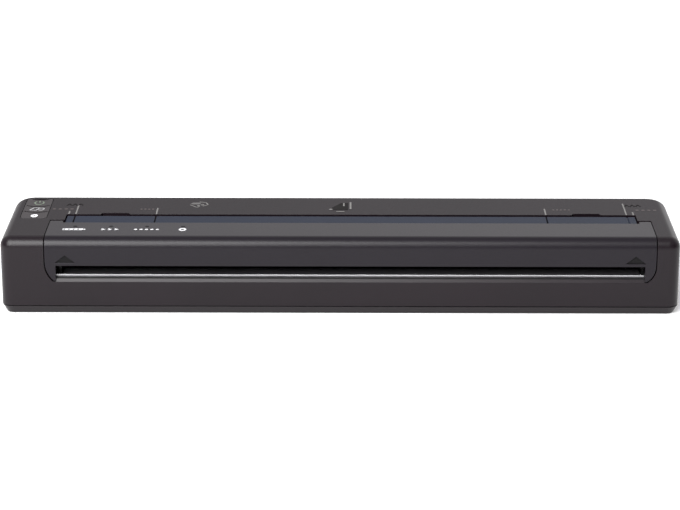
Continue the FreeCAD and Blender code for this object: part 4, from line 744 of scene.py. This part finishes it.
def add_camera():
    back = Vector((
        math.sin(camera_yaw) * math.cos(camera_elevation),
        -math.cos(camera_yaw) * math.cos(camera_elevation),
        math.sin(camera_elevation),
    ))
    right = (-back).cross(Vector((0, 0, 1))).normalized()
    up = right.cross(-back)
    rolled_right = right * math.cos(camera_roll) + up * math.sin(camera_roll)
    rolled_up = up * math.cos(camera_roll) - right * math.sin(camera_roll)
    data = bpy.data.cameras.new("photo_camera")
    data.sensor_width = sensor_mm
    data.lens = focal_px * sensor_mm / image_width_px
    data.shift_x = -centre_shift_right_px / image_width_px
    data.shift_y = centre_shift_down_px / image_width_px
    data.clip_start = camera_near
    data.clip_end = camera_far
    camera = add_to_scene("photo_camera", data)
    turn = Matrix((rolled_right, rolled_up, back)).transposed()
    place = camera_target + back * camera_distance + Vector((camera_side, 0, 0))
    camera.matrix_world = Matrix.Translation(place) @ turn.to_4x4()
    bpy.context.scene.camera = camera


# Floor, world and lamp

def add_floor():
    """A pale floor that glows a little towards the camera and in reflections."""
    half = 6.0
    glow = 0.25
    mesh = bpy.data.meshes.new("studio_floor")
    mesh.from_pydata([(-half, -half, 0), (half, -half, 0), (half, half, 0), (-half, half, 0)], [], [(0, 1, 2, 3)])
    floor = add_to_scene("studio_floor", mesh)
    shader = Shader("pale_floor")
    speck = shader.noise(size=0.4)
    shader.paint((0.80, 0.80, 0.80), (0.83, 0.83, 0.83), speck)
    shader.surface.inputs["Roughness"].default_value = 0.9
    shader.surface.inputs["Specular IOR Level"].default_value = 0.0
    path = shader.node("ShaderNodeLightPath").outputs
    seen = shader.combine("MAXIMUM", path["Is Camera Ray"], path["Is Glossy Ray"])
    seen = shader.combine("MAXIMUM", seen, path["Is Transmission Ray"])
    shader.surface.inputs["Emission Color"].default_value = (1, 1, 1, 1)
    shader.link(shader.combine("MULTIPLY", seen, glow), shader.surface, "Emission Strength")
    mesh.materials.append(shader.material)


def add_world():
    """White to the camera. To everything else a studio: pale behind the object and more so to its right, dimmer
    overhead, and nearly dark in front."""
    least_light = 0.10
    world = bpy.data.worlds.new("studio_world")
    bpy.context.scene.world = world
    studio_nodes = NodeTree(world)
    place = studio_nodes.node("ShaderNodeTexCoord")
    direction = studio_nodes.node("ShaderNodeSeparateXYZ")
    studio_nodes.link(place.outputs["Generated"], direction, "Vector")

    def fade(axis, start, end, low, high):
        return studio_nodes.map_range(
            direction.outputs[axis], start, end, low, high, interpolation_type="SMOOTHSTEP")

    low_wall = fade("Z", start=0.48, end=0.76, low=1.0, high=0.0)
    rear_wall = fade("Y", start=-0.20, end=0.50, low=0.0, high=0.78)
    side_fall = fade("X", start=-0.38, end=0.28, low=0.68, high=1.30)
    ceiling = fade("Z", start=0.30, end=0.75, low=0.0, high=0.44)
    wall = studio_nodes.combine("MULTIPLY", low_wall, rear_wall)
    wall = studio_nodes.combine("MULTIPLY", wall, side_fall)
    strength = studio_nodes.combine("ADD", wall, ceiling)
    strength = studio_nodes.combine("ADD", strength, least_light)
    studio = studio_nodes.node("ShaderNodeBackground", {"Color": (1.0, 0.985, 1.0, 1)})
    studio_nodes.link(strength, studio, "Strength")
    white = studio_nodes.node("ShaderNodeBackground", {"Color": (1, 1, 1, 1)})
    path = studio_nodes.node("ShaderNodeLightPath").outputs
    seen = studio_nodes.combine("MAXIMUM", path["Is Camera Ray"], path["Is Transmission Ray"])
    mix = studio_nodes.node("ShaderNodeMixShader")
    studio_nodes.link(seen, mix, "Fac")
    studio_nodes.link(studio.outputs["Background"], mix, 1)
    studio_nodes.link(white.outputs["Background"], mix, 2)
    output = studio_nodes.node("ShaderNodeOutputWorld")
    studio_nodes.link(mix.outputs["Shader"], output, "Surface")


def add_lamp(name, place, target, width, height, radiance):
    data = bpy.data.lights.new(name, "AREA")
    data.shape = "RECTANGLE"
    data.size = width
    data.size_y = height
    data.energy = radiance * math.pi * width * height
    lamp = add_to_scene(name, data)
    lamp.location = place
    aim = Vector(target) - Vector(place)
    lamp.rotation_mode = "QUATERNION"
    lamp.rotation_quaternion = aim.to_track_quat("-Z", "Y")


add_camera()
add_floor()
add_world()
add_lamp("front_softbox", place=(-0.46, -0.88, 0.90), target=(0, 0, 0), width=0.9, height=1.10, radiance=11.2)
bpy.context.scene.view_settings.view_transform = "Standard"
